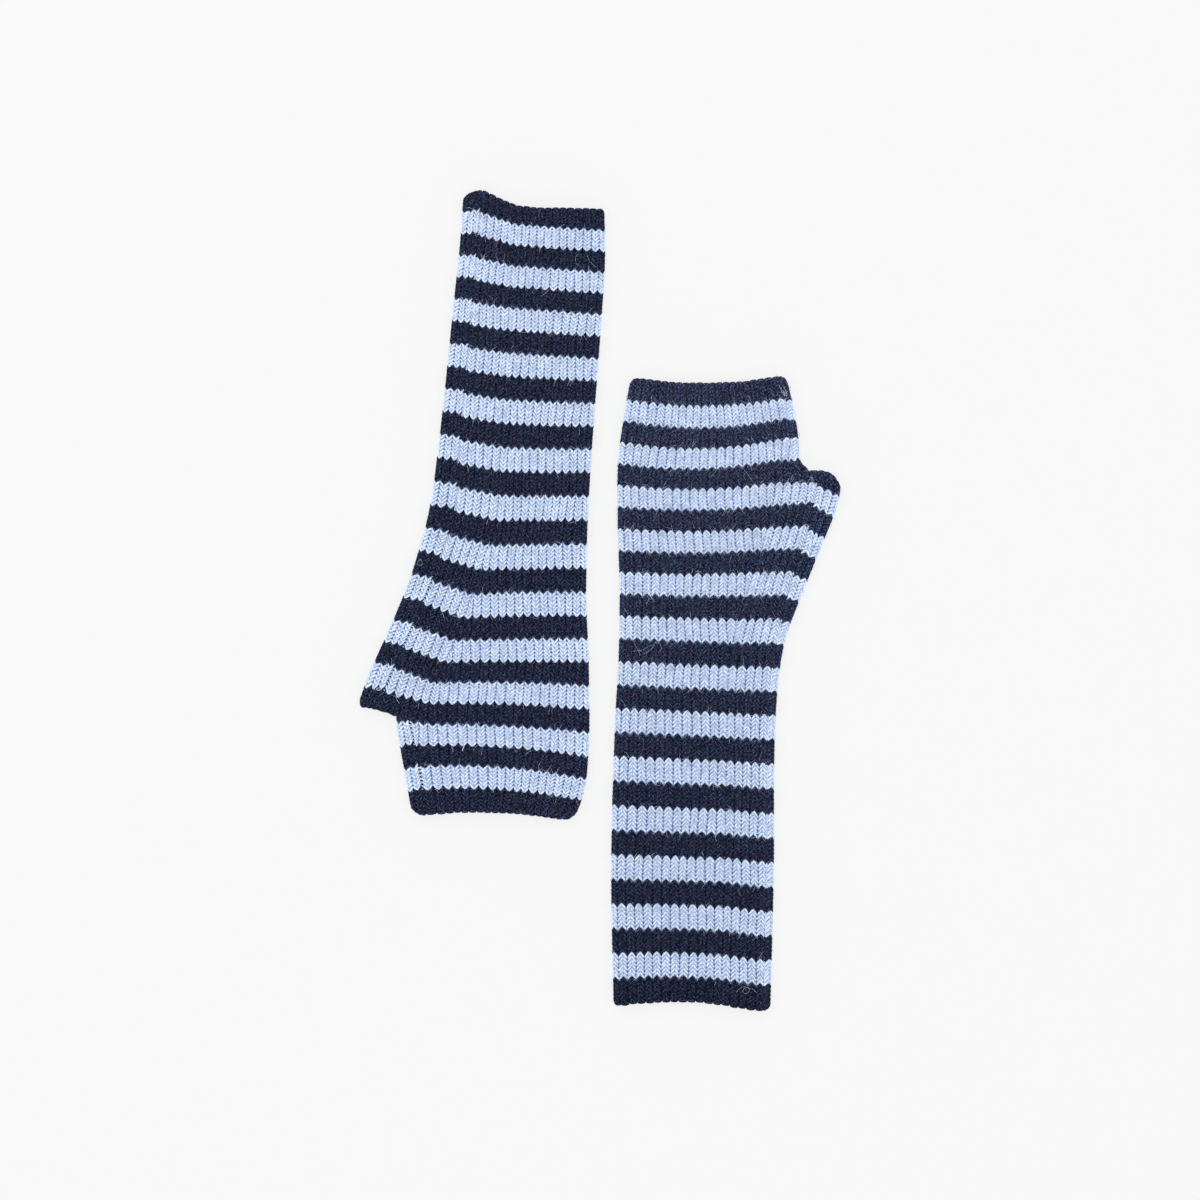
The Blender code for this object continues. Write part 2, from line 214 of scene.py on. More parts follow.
@dataclass(frozen=True)
class Lay:
    """How one warmer lies: its outline, its ribs, and its place and turn on the surface.

    The body table's columns are course, outer_x, outer_y, bend_x, bend_y, sag and spread. The band
    tables' columns are course, seam_x, seam_y, foot_y, fold_x and fold_y. The edge tables say how far
    each open edge lies beyond its last course, by x. The corners are the radii at the ends of each fold.
    The linking is the yarn of the seam's threads from its course on, or None where it is each stripe's
    own all along. The shades are how light each yarn is and the nap is how thick the fuzz is, at the
    forearm end and at the finger end. The stripe slip is how many courses the stripes step back across
    the seam. X runs from the outer fold to the thumb side and Y to the fingers.
    """

    name: str
    node: str
    slot: str
    body: Table
    arm_band: Table
    hand_band: Table
    body_ribs: int
    kept_ribs: int
    bound_ribs: int
    kept_ends: tuple[float, ...]
    wrap_starts: tuple[float, ...]
    hand_wrap_starts: tuple[float, ...]
    forearm_edge: Table
    finger_edge: Table
    mouth_edge: Table
    outer_corners: Pair
    thumb_corners: Pair
    hand_corner: float
    shades: dict[Yarn, Pair]
    nap: Pair
    place: Pair
    seed: int
    flat_area: float
    flat_size: Pair = (0.214, 0.300)
    turn: float = 0.0
    linking: Yarn | None = None
    linking_from: float = 0.0
    unevenness: float = 0.09
    stripe_slip: float = 0.9

    def swelling(self, stretch: Stretch, courses: Array, count: int) -> Array:
        """How much wider each rib is than its neighbours: slow sine waves along each rib.

        Args:
            stretch: The stretch that the ribs are in.
            courses: The courses, as a flat array.
            count: How many ribs the stretch has.

        Returns:
            A factor near 1 for each course and rib.
        """
        rng = np.random.default_rng([self.seed, list(Stretch).index(stretch)])
        phases = rng.uniform(0, 2 * math.pi, (WAVES, MOST_RIBS))[:, None, :count]
        lengths = rng.uniform(*WAVE_COURSES, (WAVES, MOST_RIBS))[:, None, :count]
        waves = np.sin(2 * math.pi * courses[:, None] / lengths + phases)
        return 1 + self.unevenness * sum(waves) / WAVE_SHARE

    def widths(self, stretch: Stretch, part: Part, courses: Array) -> Array:
        """The width of each rib of a stretch, as a share of a full rib.

        A new rib grows evenly from nothing at its first course, and a rib that ends shrinks to nothing.

        Args:
            stretch: The stretch of ribs.
            part: The forearm part or the hand part.
            courses: The courses, as a flat array.

        Returns:
            A width for each course and rib.
        """
        column = courses[:, None]
        if stretch is Stretch.BODY:
            new = np.clip((column - NEW_RIB_STARTS) / RIB_GROWTH, 0, 1)
            return np.hstack([np.ones((len(courses), self.body_ribs)), new])
        if stretch is Stretch.BAND and part is Part.HAND:
            return np.clip((np.array(self.kept_ends) - column) / RIB_GROWTH, 0, 1)
        if stretch is Stretch.WRAP:
            starts = self.wrap_starts if part is Part.ARM else self.hand_wrap_starts
            return np.clip((column - np.array(starts).reshape(1, -1)) / RIB_GROWTH, 0, 1)
        ribs = self.kept_ribs + self.bound_ribs if stretch is Stretch.BAND else FOLD_RIBS
        return np.ones((len(courses), ribs))

    def rib_count(self, stretch: Stretch, part: Part) -> int:
        """How many ribs a stretch has in a part."""
        return self.widths(stretch, part, np.zeros(1)).shape[1]

    def patches(self) -> list[Patch]:
        """The knitted patches: the folds, then each layer's from the outer fold to the thumb side.

        Returns:
            The patches that have ribs. What runs past the thumb's mouth unbroken is one patch.
        """
        arm, hand, whole = (Part.ARM, *Part.ARM.value), (Part.HAND, *Part.HAND.value), (Part.ARM, 0, COURSES)
        folds = [(Stretch.OUTER_FOLD, whole), (Stretch.THUMB_FOLD, arm), (Stretch.THUMB_FOLD, hand)]
        flats = [(Stretch.BODY, whole), (Stretch.BAND, arm), (Stretch.BAND, hand)]
        flats += [(Stretch.WRAP, arm), (Stretch.WRAP, hand)]
        made = []
        for layer, rows in ((Layer.UPPER, folds), (Layer.UPPER, flats), (Layer.UNDER, flats)):
            for stretch, (part, first, last) in rows:
                ribs = self.rib_count(stretch, part)
                carried = self.kept_ribs if stretch is Stretch.BAND and part is Part.ARM else 0
                made.append(Patch(stretch, part, layer, first, last, ribs, carried))
        return [patch for patch in made if patch.ribs]

    def shares(self, places: Places) -> Array:
        """How far across its stretch each place lies, from 0 to 1.

        A share is the sum of the widths of the ribs before the place, over the sum of all of them.

        Args:
            places: The places.

        Returns:
            The shares.
        """
        stretch, courses = places.patch.stretch, places.courses
        ribs, fractions = places.ribs, places.fractions
        widths = self.widths(stretch, places.patch.part, courses)
        if not widths.shape[1]:
            return fractions
        widths = widths * self.swelling(stretch, courses, widths.shape[1])
        total = widths.sum(axis=1)
        edges = np.hstack([np.zeros((len(courses), 1)), np.cumsum(widths, axis=1)])
        edges /= np.maximum(total, NO_WIDTH)[:, None]
        line = np.arange(len(courses))
        shares = edges[line, ribs] * (1 - fractions) + edges[line, ribs + 1] * fractions
        return np.where(total > NO_WIDTH, shares, fractions)

    def drawn_in(self, courses: Array, ends: tuple[Pair, ...]) -> Array:
        """How far a fold is drawn in beside its corners: each corner is a quarter circle.

        Args:
            courses: The courses, as a flat array.
            ends: The course and the radius of each corner.

        Returns:
            Lengths.
        """
        inward = np.zeros(len(courses))
        for course, radius in ends:
            near = np.clip(1 - np.abs(courses - course) * COURSE_LENGTH / radius, 0, 1)
            inward += radius * (1 - np.sqrt(1 - near**2))
        return inward

    def edged(self, flat: Array, part: Part, courses: Array) -> Array:
        """Places moved to the line of the open edge beside them, by less the further from it they are.

        The shift is the edge table's length at the place's x, times the cube of the nearness.

        Args:
            flat: The places, as (x, y).
            part: The forearm part or the hand part.
            courses: The course of each place.

        Returns:
            The places moved.
        """
        edges = [(self.forearm_edge, courses), (self.finger_edge, COURSES - courses)]
        if part is Part.ARM:
            edges.append((self.mouth_edge, MOUTH_COURSE - courses))
        for table, away in edges:
            near = np.clip(1 - away / EDGE_COURSES, 0, PAST_EDGE) ** 3
            x = np.clip(flat[:, 0], table.rows[0][0], table.rows[-1][0])
            flat = flat + np.column_stack([np.zeros(len(flat)), table.at(x)[:, 0] * near])
        return flat

    def corners(self, part: Part, courses: Array) -> dict[str, Array]:
        """The points where the stretches of a course meet, each as an array of (x, y).

        Args:
            part: The forearm part or the hand part.
            courses: The courses, as a flat array.

        Returns:
            The outer edge, outer foot, bend, seam, far side of the seam, fold foot and fold edge, and the
            body's sag and spread.
        """
        body = self.body.at(courses)
        if part is Part.ARM:
            band = self.arm_band.at(courses)
            ends = ((0, self.thumb_corners[0]), (MOUTH_COURSE, self.thumb_corners[1]))
        else:
            band, ends = self.hand_band.at(courses), ((COURSES, self.hand_corner),)
        outer, seam = body[:, 0:2].copy(), band[:, 0:2]
        outer[:, 0] += self.drawn_in(courses, ((0, self.outer_corners[0]), (COURSES, self.outer_corners[1])))
        band[:, 3] -= self.drawn_in(courses, ends)
        return {
            "outer": outer,
            "outer_foot": outer + (FOLD_REACH, 0.0),
            "bend": body[:, 2:4],
            "sag": body[:, 4],
            "spread": body[:, 5],
            "seam": seam,
            "seam_far": seam + (SEAM_GAP, 0.0),
            "fold": band[:, 3:5],
            "fold_foot": np.column_stack([band[:, 3] - FOLD_REACH, band[:, 2]]),
        }

    def spots(self, places: Places, inner: bool = False, close_up: bool = True) -> tuple[Array, Array]:
        """Places of the cloth as points and the ways that the cloth faces there, where it lies.

        Between the seam and the fold the courses slip back, by less towards the fold and the part's ends.

        Args:
            places: The places.
            inner: True for the cloth's inner skin, which takes no depth.
            close_up: True where the thumb-side fold's ribs close up to the seam if no rib lies between.

        Returns:
            Points and unit normals.
        """
        if places.patch.is_fold:
            return self.fold_spots(places, inner, close_up)
        if places.patch.stretch is Stretch.WRAP:
            first, last = places.patch.part.value
            courses = places.courses
            room = np.minimum(np.maximum(courses - first, 0), np.maximum(last - courses, 0))
            slip = self.stripe_slip * (1 - self.shares(places)) * np.minimum(room / SLIP_COURSES, 1)
            places = replace(places, courses=courses - slip)
        return self.flat_spots(places, inner)

    def fold_spots(self, places: Places, inner: bool, close_up: bool) -> tuple[Array, Array]:
        """Places round a fold, as spots gives them.

        They run over half an ellipse, from 90 degrees at the upper foot to -90 degrees at the lower one,
        and the inner skin over half a circle.

        Args:
            places: The places.
            inner: True for the inner skin.
            close_up: True where the thumb-side fold's ribs close up to the seam.

        Returns:
            Points and unit normals.
        """
        part, outer = places.patch.part, places.patch.stretch is Stretch.OUTER_FOLD
        at = self.corners(part, places.courses)
        foot, edge = (at["outer_foot"], at["outer"]) if outer else (at["fold_foot"], at["fold"])
        angles = math.pi / 2 - math.pi * (places.ribs + places.fractions) / FOLD_RIBS
        cosines, sines = np.cos(angles), np.sin(angles)
        reach = edge - foot
        length = np.linalg.norm(reach, axis=1)
        way = reach / length[:, None]
        if inner:
            flat, rise, middle = INNER_GAP / 2, INNER_GAP / 2, LOWER_WALL + INNER_GAP / 2
        else:
            flat, rise, middle = length - places.depths + FOLD_PROUD, HEIGHT / 2 - places.depths, HEIGHT / 2
        level = foot + way * (flat * cosines)[:, None]
        if not outer and not inner:
            level[:, 1] += reach[:, 1] / 2 * (1 - np.abs(sines) - cosines)
        if not outer and not inner and close_up:
            between = self.widths(Stretch.WRAP, part, places.courses).sum(axis=1)
            slack = (at["fold_foot"] - at["seam"])[:, 0] * (1 - np.clip(between, 0, 1))
            level[:, 0] -= slack * np.abs(sines) ** 3
        level = self.edged(level, part, places.courses)
        normals = np.column_stack([way * cosines[:, None], sines])
        return self.laid(np.column_stack([level, middle + rise * sines])), self.turned(normals)

    def flat_spots(self, places: Places, inner: bool) -> tuple[Array, Array]:
        """Places on a flat stretch, as spots gives them.

        A place lies on a straight line from the stretch's start to its end by its share, with the body's
        sag added as a parabola. Its height is its depth below the upper face or above the underside.

        Args:
            places: The places.
            inner: True for the inner skin, which is flat.

        Returns:
            Points and unit normals.
        """
        patch, upper = places.patch, places.patch.layer is Layer.UPPER
        at, share = self.corners(patch.part, places.courses), self.shares(places)
        start, end = {
            Stretch.BODY: ("outer_foot", "bend"),
            Stretch.BAND: ("bend", "seam"),
            Stretch.WRAP: ("seam_far", "fold_foot"),
        }[patch.stretch]
        if patch.stretch is Stretch.BODY:
            share = share - at["spread"] * share * (1 - share)
        flat = at[start] + (at[end] - at[start]) * share[:, None]
        if patch.stretch is Stretch.BODY:
            flat[:, 1] += at["sag"] * 4 * share * (1 - share)
        flat = self.edged(flat, patch.part, places.courses)
        if inner:
            heights = np.full(len(flat), LOWER_WALL + (INNER_GAP if upper else 0.0))
        else:
            heights = HEIGHT - places.depths if upper else places.depths
        normals = np.tile((0.0, 0.0, patch.layer.value), (len(flat), 1))
        return self.laid(np.column_stack([flat, heights])), normals

    def turned(self, vectors: Array) -> Array:
        """Directions in the warmer's own frame, turned with it."""
        cosine, sine = math.cos(self.turn), math.sin(self.turn)
        return vectors @ np.array(((cosine, sine, 0.0), (-sine, cosine, 0.0), (0.0, 0.0, 1.0)))

    def laid(self, points: Array) -> Array:
        """Points in the warmer's own frame, turned and moved to their place on the surface."""
        return self.turned(points) + np.array((*self.place, 0.0))


RIGHT = Lay(
    name="right",
    node="right_warmer_panel",
    slot="right_wool",
    body=Table((
        (0, -0.0007, 0.0000, 0.0503, -0.0002, 0.0013, 0.00),
        (33, -0.0018, 0.0645, 0.0520, 0.0631, 0.0000, 0.00),
        (69, 0.0001, 0.1342, 0.0533, 0.1319, 0.0000, 0.00),
        (85, 0.0017, 0.1638, 0.0543, 0.1617, 0.0000, 0.05),
        (93, 0.0021, 0.1784, 0.0571, 0.1765, 0.0000, 0.06),
        (105, 0.0022, 0.1993, 0.0641, 0.1989, -0.0006, 0.02),
        (117, 0.0015, 0.2199, 0.0709, 0.2204, -0.0013, 0.02),
        (129, 0.0012, 0.2406, 0.0757, 0.2416, -0.0020, 0.00),
        (136, 0.0013, 0.2525, 0.0760, 0.2541, -0.0028, -0.02),
        (141, 0.0018, 0.2610, 0.0756, 0.2625, -0.0033, -0.03),
        (153, 0.0047, 0.2810, 0.0736, 0.2810, -0.0028, -0.02),
        (162, 0.0074, 0.2962, 0.0708, 0.2959, -0.0013, -0.02),
    )),
    arm_band=Table((
        (0, 0.0703, -0.0031, -0.0032, 0.0739, -0.0022),
        (33, 0.0719, 0.0608, 0.0607, 0.0755, 0.0606),
        (69, 0.0726, 0.1309, 0.1308, 0.0762, 0.1306),
        (85, 0.0750, 0.1613, 0.1611, 0.0786, 0.1604),
        (93, 0.0780, 0.1767, 0.1760, 0.0817, 0.1748),
        (105, 0.0831, 0.1993, 0.1969, 0.0893, 0.1948),
        (117, 0.0903, 0.2211, 0.2173, 0.0974, 0.2150),
        (129, 0.0950, 0.2428, 0.2375, 0.1053, 0.2346),
        (132, 0.0955, 0.2471, 0.2420, 0.1064, 0.2391),
        (136, 0.0965, 0.2534, 0.2508, 0.1073, 0.2462),
    )),
    hand_band=Table((
        (136, 0.0886, 0.2537, 0.2533, 0.0928, 0.2519),
        (137.3, 0.0858, 0.2562, 0.2563, 0.0890, 0.2560),
        (138.5, 0.0846, 0.2588, 0.2590, 0.0876, 0.2596),
        (141, 0.0840, 0.2635, 0.2636, 0.0876, 0.2636),
        (153, 0.0817, 0.2822, 0.2814, 0.0853, 0.2806),
        (162, 0.0782, 0.2966, 0.2966, 0.0818, 0.2956),
    )),
    body_ribs=12,
    kept_ribs=3,
    bound_ribs=2,
    kept_ends=(math.inf, math.inf, 143.0),
    wrap_starts=(94.0, 115.0),
    hand_wrap_starts=(),
    forearm_edge=Table((
        (0.0, -0.0011), (0.005, -0.0010), (0.015, -0.0008), (0.027, -0.0005), (0.038, -0.0004),
        (0.050, -0.0006), (0.058, -0.0008), (0.066, -0.0007), (0.074, -0.0002),
    )),
    finger_edge=Table((
        (0.005, 0.0004), (0.015, 0.0002), (0.030, -0.0004), (0.047, -0.0003), (0.061, -0.0001),
        (0.069, 0.0005), (0.078, 0.0009), (0.083, 0.0006),
    )),
    mouth_edge=Table((
        (0.0885, 0.0000), (0.0910, -0.0004), (0.0935, -0.0009), (0.0957, -0.0007), (0.0980, -0.0002),
        (0.1005, 0.0006), (0.1040, 0.0005), (0.1075, 0.0000),
    )),
    outer_corners=(0.0022, 0.0032),
    thumb_corners=(0.0022, 0.0032),
    hand_corner=0.0024,
    shades={Yarn.NAVY: (0.57, 1.20), Yarn.BLUE: (0.93, 1.02)},
    nap=(0.25, 1.0),
    place=(0.0069, -0.19135),
    seed=11,
    flat_area=0.0492,
)
LEFT = Lay(
    name="left",
    node="left_warmer_panel",
    slot="left_wool",
    body=Table((
        (0, 0.0002, 0.0000, 0.0420, -0.0028, 0.0003, -0.05),
        (15, -0.0001, 0.0247, 0.0437, 0.0218, 0.0001, -0.05),
        (33, 0.0018, 0.0549, 0.0458, 0.0520, 0.0000, -0.05),
        (69, 0.0065, 0.1192, 0.0498, 0.1185, 0.0004, -0.05),
        (85, 0.0082, 0.1494, 0.0520, 0.1496, 0.0000, 0.00),
        (93, 0.0086, 0.1646, 0.0573, 0.1653, 0.0000, -0.02),
        (105, 0.0088, 0.1874, 0.0650, 0.1885, -0.0006, 0.04),
        (117, 0.0078, 0.2092, 0.0735, 0.2098, 0.0000, 0.08),
        (129, 0.0074, 0.2316, 0.0826, 0.2297, -0.0010, 0.08),
        (136, 0.0073, 0.2444, 0.0840, 0.2412, -0.0009, 0.12),
        (141, 0.0076, 0.2539, 0.0840, 0.2496, -0.0014, 0.14),
        (153, 0.0095, 0.2751, 0.0822, 0.2694, -0.0021, 0.08),
        (162, 0.0143, 0.2893, 0.0795, 0.2864, -0.0014, 0.06),
    )),
    arm_band=Table((
        (0, 0.0582, -0.0090, -0.0086, 0.0672, -0.0070),
        (6, 0.0591, 0.0014, 0.0010, 0.0677, 0.0008),
        (12, 0.0600, 0.0122, 0.0116, 0.0684, 0.0112),
        (33, 0.0633, 0.0494, 0.0480, 0.0721, 0.0468),
        (69, 0.0691, 0.1150, 0.1127, 0.0790, 0.1114),
        (85, 0.0715, 0.1451, 0.1426, 0.0832, 0.1413),
        (93, 0.0762, 0.1601, 0.1571, 0.0867, 0.1555),
        (105, 0.0843, 0.1817, 0.1793, 0.0936, 0.1776),
        (117, 0.0936, 0.2031, 0.2010, 0.1026, 0.1992),
        (129, 0.1024, 0.2228, 0.2212, 0.1116, 0.2192),
        (136, 0.1083, 0.2368, 0.2354, 0.1175, 0.2345),
    )),
    hand_band=Table((
        (136, 0.0937, 0.2394, 0.2395, 0.0993, 0.2393),
        (141, 0.0912, 0.2489, 0.2493, 0.0982, 0.2494),
        (153, 0.0872, 0.2701, 0.2708, 0.0945, 0.2707),
        (162, 0.0846, 0.2869, 0.2868, 0.0919, 0.2850),
    )),
    body_ribs=11,
    kept_ribs=2,
    bound_ribs=3,
    kept_ends=(math.inf, 146.0),
    wrap_starts=(-7.0, -7.0),
    hand_wrap_starts=(130.0,),
    forearm_edge=Table((
        (0.0, -0.0002), (0.010, 0.0000), (0.020, 0.0003), (0.028, 0.0010), (0.035, 0.0013),
        (0.042, 0.0011), (0.049, 0.0008), (0.057, 0.0001), (0.065, 0.0003),
    )),
    finger_edge=Table((
        (0.015, 0.0002), (0.060, 0.0000), (0.078, 0.0004), (0.089, 0.0009),
    )),
    mouth_edge=Table((
        (0.0935, 0.0000), (0.0960, 0.0012), (0.0990, 0.0022), (0.1030, 0.0014), (0.1083, 0.0008),
        (0.1112, 0.0008), (0.1160, 0.0014),
    )),
    outer_corners=(0.0022, 0.0050),
    thumb_corners=(0.0042, 0.0026),
    hand_corner=0.0042,
    linking=Yarn.NAVY,
    linking_from=100.0,
    shades={Yarn.NAVY: (0.71, 0.71), Yarn.BLUE: (1.0, 1.0)},
    nap=(0.38, 0.38),
    place=(0.0021, 0.18555),
    turn=math.pi,
    seed=23,
    flat_area=0.0478,
)


class Dye:
    """A material while it is mixed: its shader, and a method for each kind of node that finishes use."""

    def __init__(self, name: str, plain: dict[str, float | tuple[float, ...]]) -> None:
        """Starts a material.

        Args:
            name: The material's name.
            plain: The shader's values that are the same all over, by the names of its inputs.
        """
        self.material = bpy.data.materials.new(name)
        self.material.use_nodes = True
        self.tree = self.material.node_tree
        self.shader = self.tree.nodes["Principled BSDF"]
        for key, value in plain.items():
            self.shader.inputs[key].default_value = value

    def add(self, kind: str, out: str, inputs: dict[str | int, object], **settings: str) -> Socket:
        """Adds a node.

        Args:
            kind: The node's kind, as its type name ends.
            out: The name of the output that is wanted.
            inputs: What goes into the node. A socket is linked, and a plain value is set.
            settings: The node's own settings.

        Returns:
            The output.
        """
        node = self.tree.nodes.new(f"ShaderNode{kind}")
        for key, value in settings.items():
            setattr(node, key, value)
        for key, value in inputs.items():
            if isinstance(value, Socket):
                self.tree.links.new(value, node.inputs[key])
            else:
                node.inputs[key].default_value = value
        return node.outputs[out]

    def attribute(self, name: str, out: str = "Fac") -> Socket:
        """Reads an attribute of the mesh."""
        return self.add("Attribute", out, {}, attribute_name=name)

    def noise(self, where: Socket, scale: float, detail: float = PLAIN_DETAIL) -> Socket:
        """Adds a noise from 0 to 1, with so many grains to a unit of the places that it reads."""
        inputs = {"Scale": scale, "Detail": detail, "Roughness": NOISE_ROUGHNESS, "Vector": where}
        return self.add("TexNoise", "Fac", inputs)

    def sum_up(self, operation: str, value: Socket, number: float) -> Socket:
        """Adds a sum with a socket and a number."""
        return self.add("Math", "Value", {0: value, 1: number}, operation=operation)

    def mixed(self, first: Socket, second: Socket | tuple, share: Socket | float) -> Socket:
        """Adds a mix of two colours, with the second one's share."""
        return self.add("Mix", "Result", {"A": first, "B": second, "Factor": share}, data_type="RGBA")

    def shaded(self, colour: Socket, factor: Socket) -> Socket:
        """Adds a colour multiplied by a factor or another colour."""
        inputs = {"A": colour, "B": factor, "Factor": 1.0}
        return self.add("Mix", "Result", inputs, data_type="RGBA", blend_type="MULTIPLY")

    def ramp(self, value: Socket, *stops: tuple[float, Colour]) -> Socket:
        """Adds a colour ramp.

        Args:
            value: What the ramp reads.
            stops: Pairs of a position and a colour.

        Returns:
            The ramp's colour.
        """
        made = self.add("ValToRGB", "Color", {"Fac": value})
        elements = made.node.color_ramp.elements
        while len(elements) < len(stops):
            elements.new(0.5)
        for element, (position, colour) in zip(elements, stops):
            element.position, element.color = position, (*colour, 1.0)
        return made

    def finished(self, colour: Socket, bumps: dict[str, Socket | float] | None = None) -> Material:
        """Ends the material.

        Args:
            colour: The colour of the surface.
            bumps: The bump node's inputs, or None for a smooth surface.

        Returns:
            The material.
        """
        self.tree.links.new(colour, self.shader.inputs["Base Color"])
        if bumps:
            self.tree.links.new(self.add("Bump", "Normal", bumps), self.shader.inputs["Normal"])
        return self.material


@dataclass(frozen=True)
class WoolFinish:
    """A brushed wool yarn: a heather of three shades and some flecks, with fibres along the strand."""

    name: str
    deep: Colour
    middle: Colour
    bright: Colour
    flecks: tuple[Colour, ...]
    fleck_share: float
    fibre: Colour
    fibre_share: float
    sheen: float
    sheen_tint: Colour
    specular: float
    roughness: float = 0.92
    sheen_roughness: float = 0.6
    grain: float = 0.00055
    fleck_grain: float = 0.0011
    ramp_ends: Pair = (0.30, 0.72)
    ramp_middle: float = 0.50
    fleck_ends: Pair = (0.34, 0.66)
    fibre_ends: Pair = (0.50, 0.68)
    bump_height: float = 0.00018
    bump_strength: float = 0.6

    def material(self) -> Material:
        """Builds the yarn's material.

        Returns:
            A material whose colour is the heather, mixed with flecks, streaked with fibres along each
            strand, made a little lighter or darker from stitch to stitch, and darkened on each strand's sides
            and tips as painted shade.
        """
        dye = Dye(self.name, {
            "Roughness": self.roughness,
            "Specular IOR Level": self.specular,
            "Sheen Weight": self.sheen,
            "Sheen Roughness": self.sheen_roughness,
            "Sheen Tint": (*self.sheen_tint, 1.0),
        })
        where = dye.add("TexCoord", "Object", {})
        grain = dye.noise(where, 1 / self.grain, FINE_DETAIL)
        low, high = self.ramp_ends
        heather = dye.ramp(grain, (low, self.deep), (self.ramp_middle, self.middle), (high, self.bright))
        spots = dye.noise(where, 1 / self.fleck_grain)
        flecks = dye.ramp(spots, *zip(np.linspace(*self.fleck_ends, len(self.flecks)), self.flecks))
        colour = dye.mixed(heather, flecks, self.fleck_share)
        streaks = dye.noise(dye.attribute("strand", "Vector"), 1.0)
        bare, full = self.fibre_ends
        fibres = dye.ramp(streaks, (bare, (0.0, 0.0, 0.0)), (full, (self.fibre_share,) * 3))
        colour = dye.mixed(colour, (*self.fibre, 1.0), fibres)
        # The point attribute holds each strand's random tone times its painted shade.
        colour = dye.shaded(colour, dye.attribute("tint"))
        bumps = {"Strength": self.bump_strength, "Distance": self.bump_height, "Height": grain}
        return dye.finished(colour, bumps)


@dataclass(frozen=True)
class WallFinish:
    """The ground of the cloth under the stitches, striped by the courses, with painted shade between the
    ribs.
    """

    name: str
    navy: Colour
    navy_valley_shade: Colour
    blue: Colour
    blue_valley_shade: Colour
    roughness: float = 0.95
    specular: float = 0.2
    grain: float = 0.0007
    crown_ends: Pair = (0.1, 0.7)
    heather_ends: Pair = (0.35, 0.65)
    heather_shade: float = 0.8
    bump_height: float = 0.0002
    bump_strength: float = 0.5

    def material(self) -> Material:
        """Builds the ground's material.

        Returns:
            A material whose stripes follow the mesh's course attribute, and whose colour in each stripe
            follows its crown attribute, from a painted shade at 0 between two ribs to the plain colour at 1
            on a rib, with a heather over both.
        """
        dye = Dye(self.name, {"Roughness": self.roughness, "Specular IOR Level": self.specular})
        grain = dye.noise(dye.add("TexCoord", "Object", {}), 1 / self.grain, FINE_DETAIL)
        crown = dye.attribute("crown")
        low, high = self.crown_ends
        # Between the ribs the ground takes a darker colour: painted shade.
        navy = dye.ramp(crown, (low, self.navy_valley_shade), (high, self.navy))
        blue = dye.ramp(crown, (low, self.blue_valley_shade), (high, self.blue))
        shifted = dye.sum_up("ADD", dye.attribute("course"), STRIPE_COURSES / 2)
        folded = dye.sum_up("PINGPONG", shifted, STRIPE_COURSES)
        is_navy = dye.sum_up("GREATER_THAN", folded, STRIPE_COURSES / 2)
        colour = dye.mixed(blue, navy, is_navy)
        low, high = self.heather_ends
        heather = dye.ramp(grain, (low, (self.heather_shade,) * 3), (high, (1.0, 1.0, 1.0)))
        bumps = {"Strength": self.bump_strength, "Distance": self.bump_height, "Height": grain}
        return dye.finished(dye.shaded(colour, heather), bumps)


def mesh_object(
    name: str,
    points: Array,
    quads: Array,
    material: Material,
    triangles: Array = NO_TRIANGLES,
    attributes: dict[str, Array] | None = None,
) -> Piece:
    """Puts whole arrays of points and faces into a new smooth object.

    Args:
        name: The piece's name.
        points: The points.
        quads: Four point numbers a face.
        material: The piece's finish.
        triangles: Three point numbers a face.
        attributes: A number or a vector for each point, by the attribute's name.

    Returns:
        The object, linked to the scene.
    """
    mesh = bpy.data.meshes.new(name)
    corners = np.concatenate([triangles.ravel(), quads.ravel()]).astype(np.int32)
    starts = np.concatenate([np.arange(len(triangles)) * 3, triangles.size + np.arange(len(quads)) * 4])
    mesh.vertices.add(len(points))
    mesh.vertices.foreach_set("co", points.astype(np.float32).ravel())
    mesh.loops.add(len(corners))
    mesh.loops.foreach_set("vertex_index", corners)
    mesh.polygons.add(len(starts))
    mesh.polygons.foreach_set("loop_start", starts.astype(np.int32))
    mesh.update(calc_edges=True)
    mesh.validate()
    mesh.shade_smooth()
    mesh.materials.append(material)
    for key, values in (attributes or {}).items():
        kind, slot = ("FLOAT", "value") if values.ndim == 1 else ("FLOAT_VECTOR", "vector")
        mesh.attributes.new(key, kind, "POINT").data.foreach_set(slot, values.astype(np.float32).ravel())
    made = bpy.data.objects.new(name, mesh)
    bpy.context.scene.collection.objects.link(made)
    return made


def strand_faces(rings: int, sides: int) -> tuple[Array, Array]:
    """The faces of one closed strand: a point, some rings and a point.

    Args:
        rings: How many rings the strand has.
        sides: How many points each ring has.

    Returns:
        The triangles at its two ends and the four-sided faces between, as point numbers.
    """
    side = np.arange(sides)
    following = (side + 1) % sides
    top = 1 + (rings - 1) * sides
    start = np.column_stack([0 * side, 1 + side, 1 + following])
    end = np.column_stack([0 * side + top + sides, top + following, top + side])
    low = 1 + np.arange(rings - 1)[:, None] * sides
    quads = np.stack([low + side, low + sides + side, low + sides + following, low + following], axis=-1)
    return np.concatenate([start, end]), quads.reshape(-1, 4)


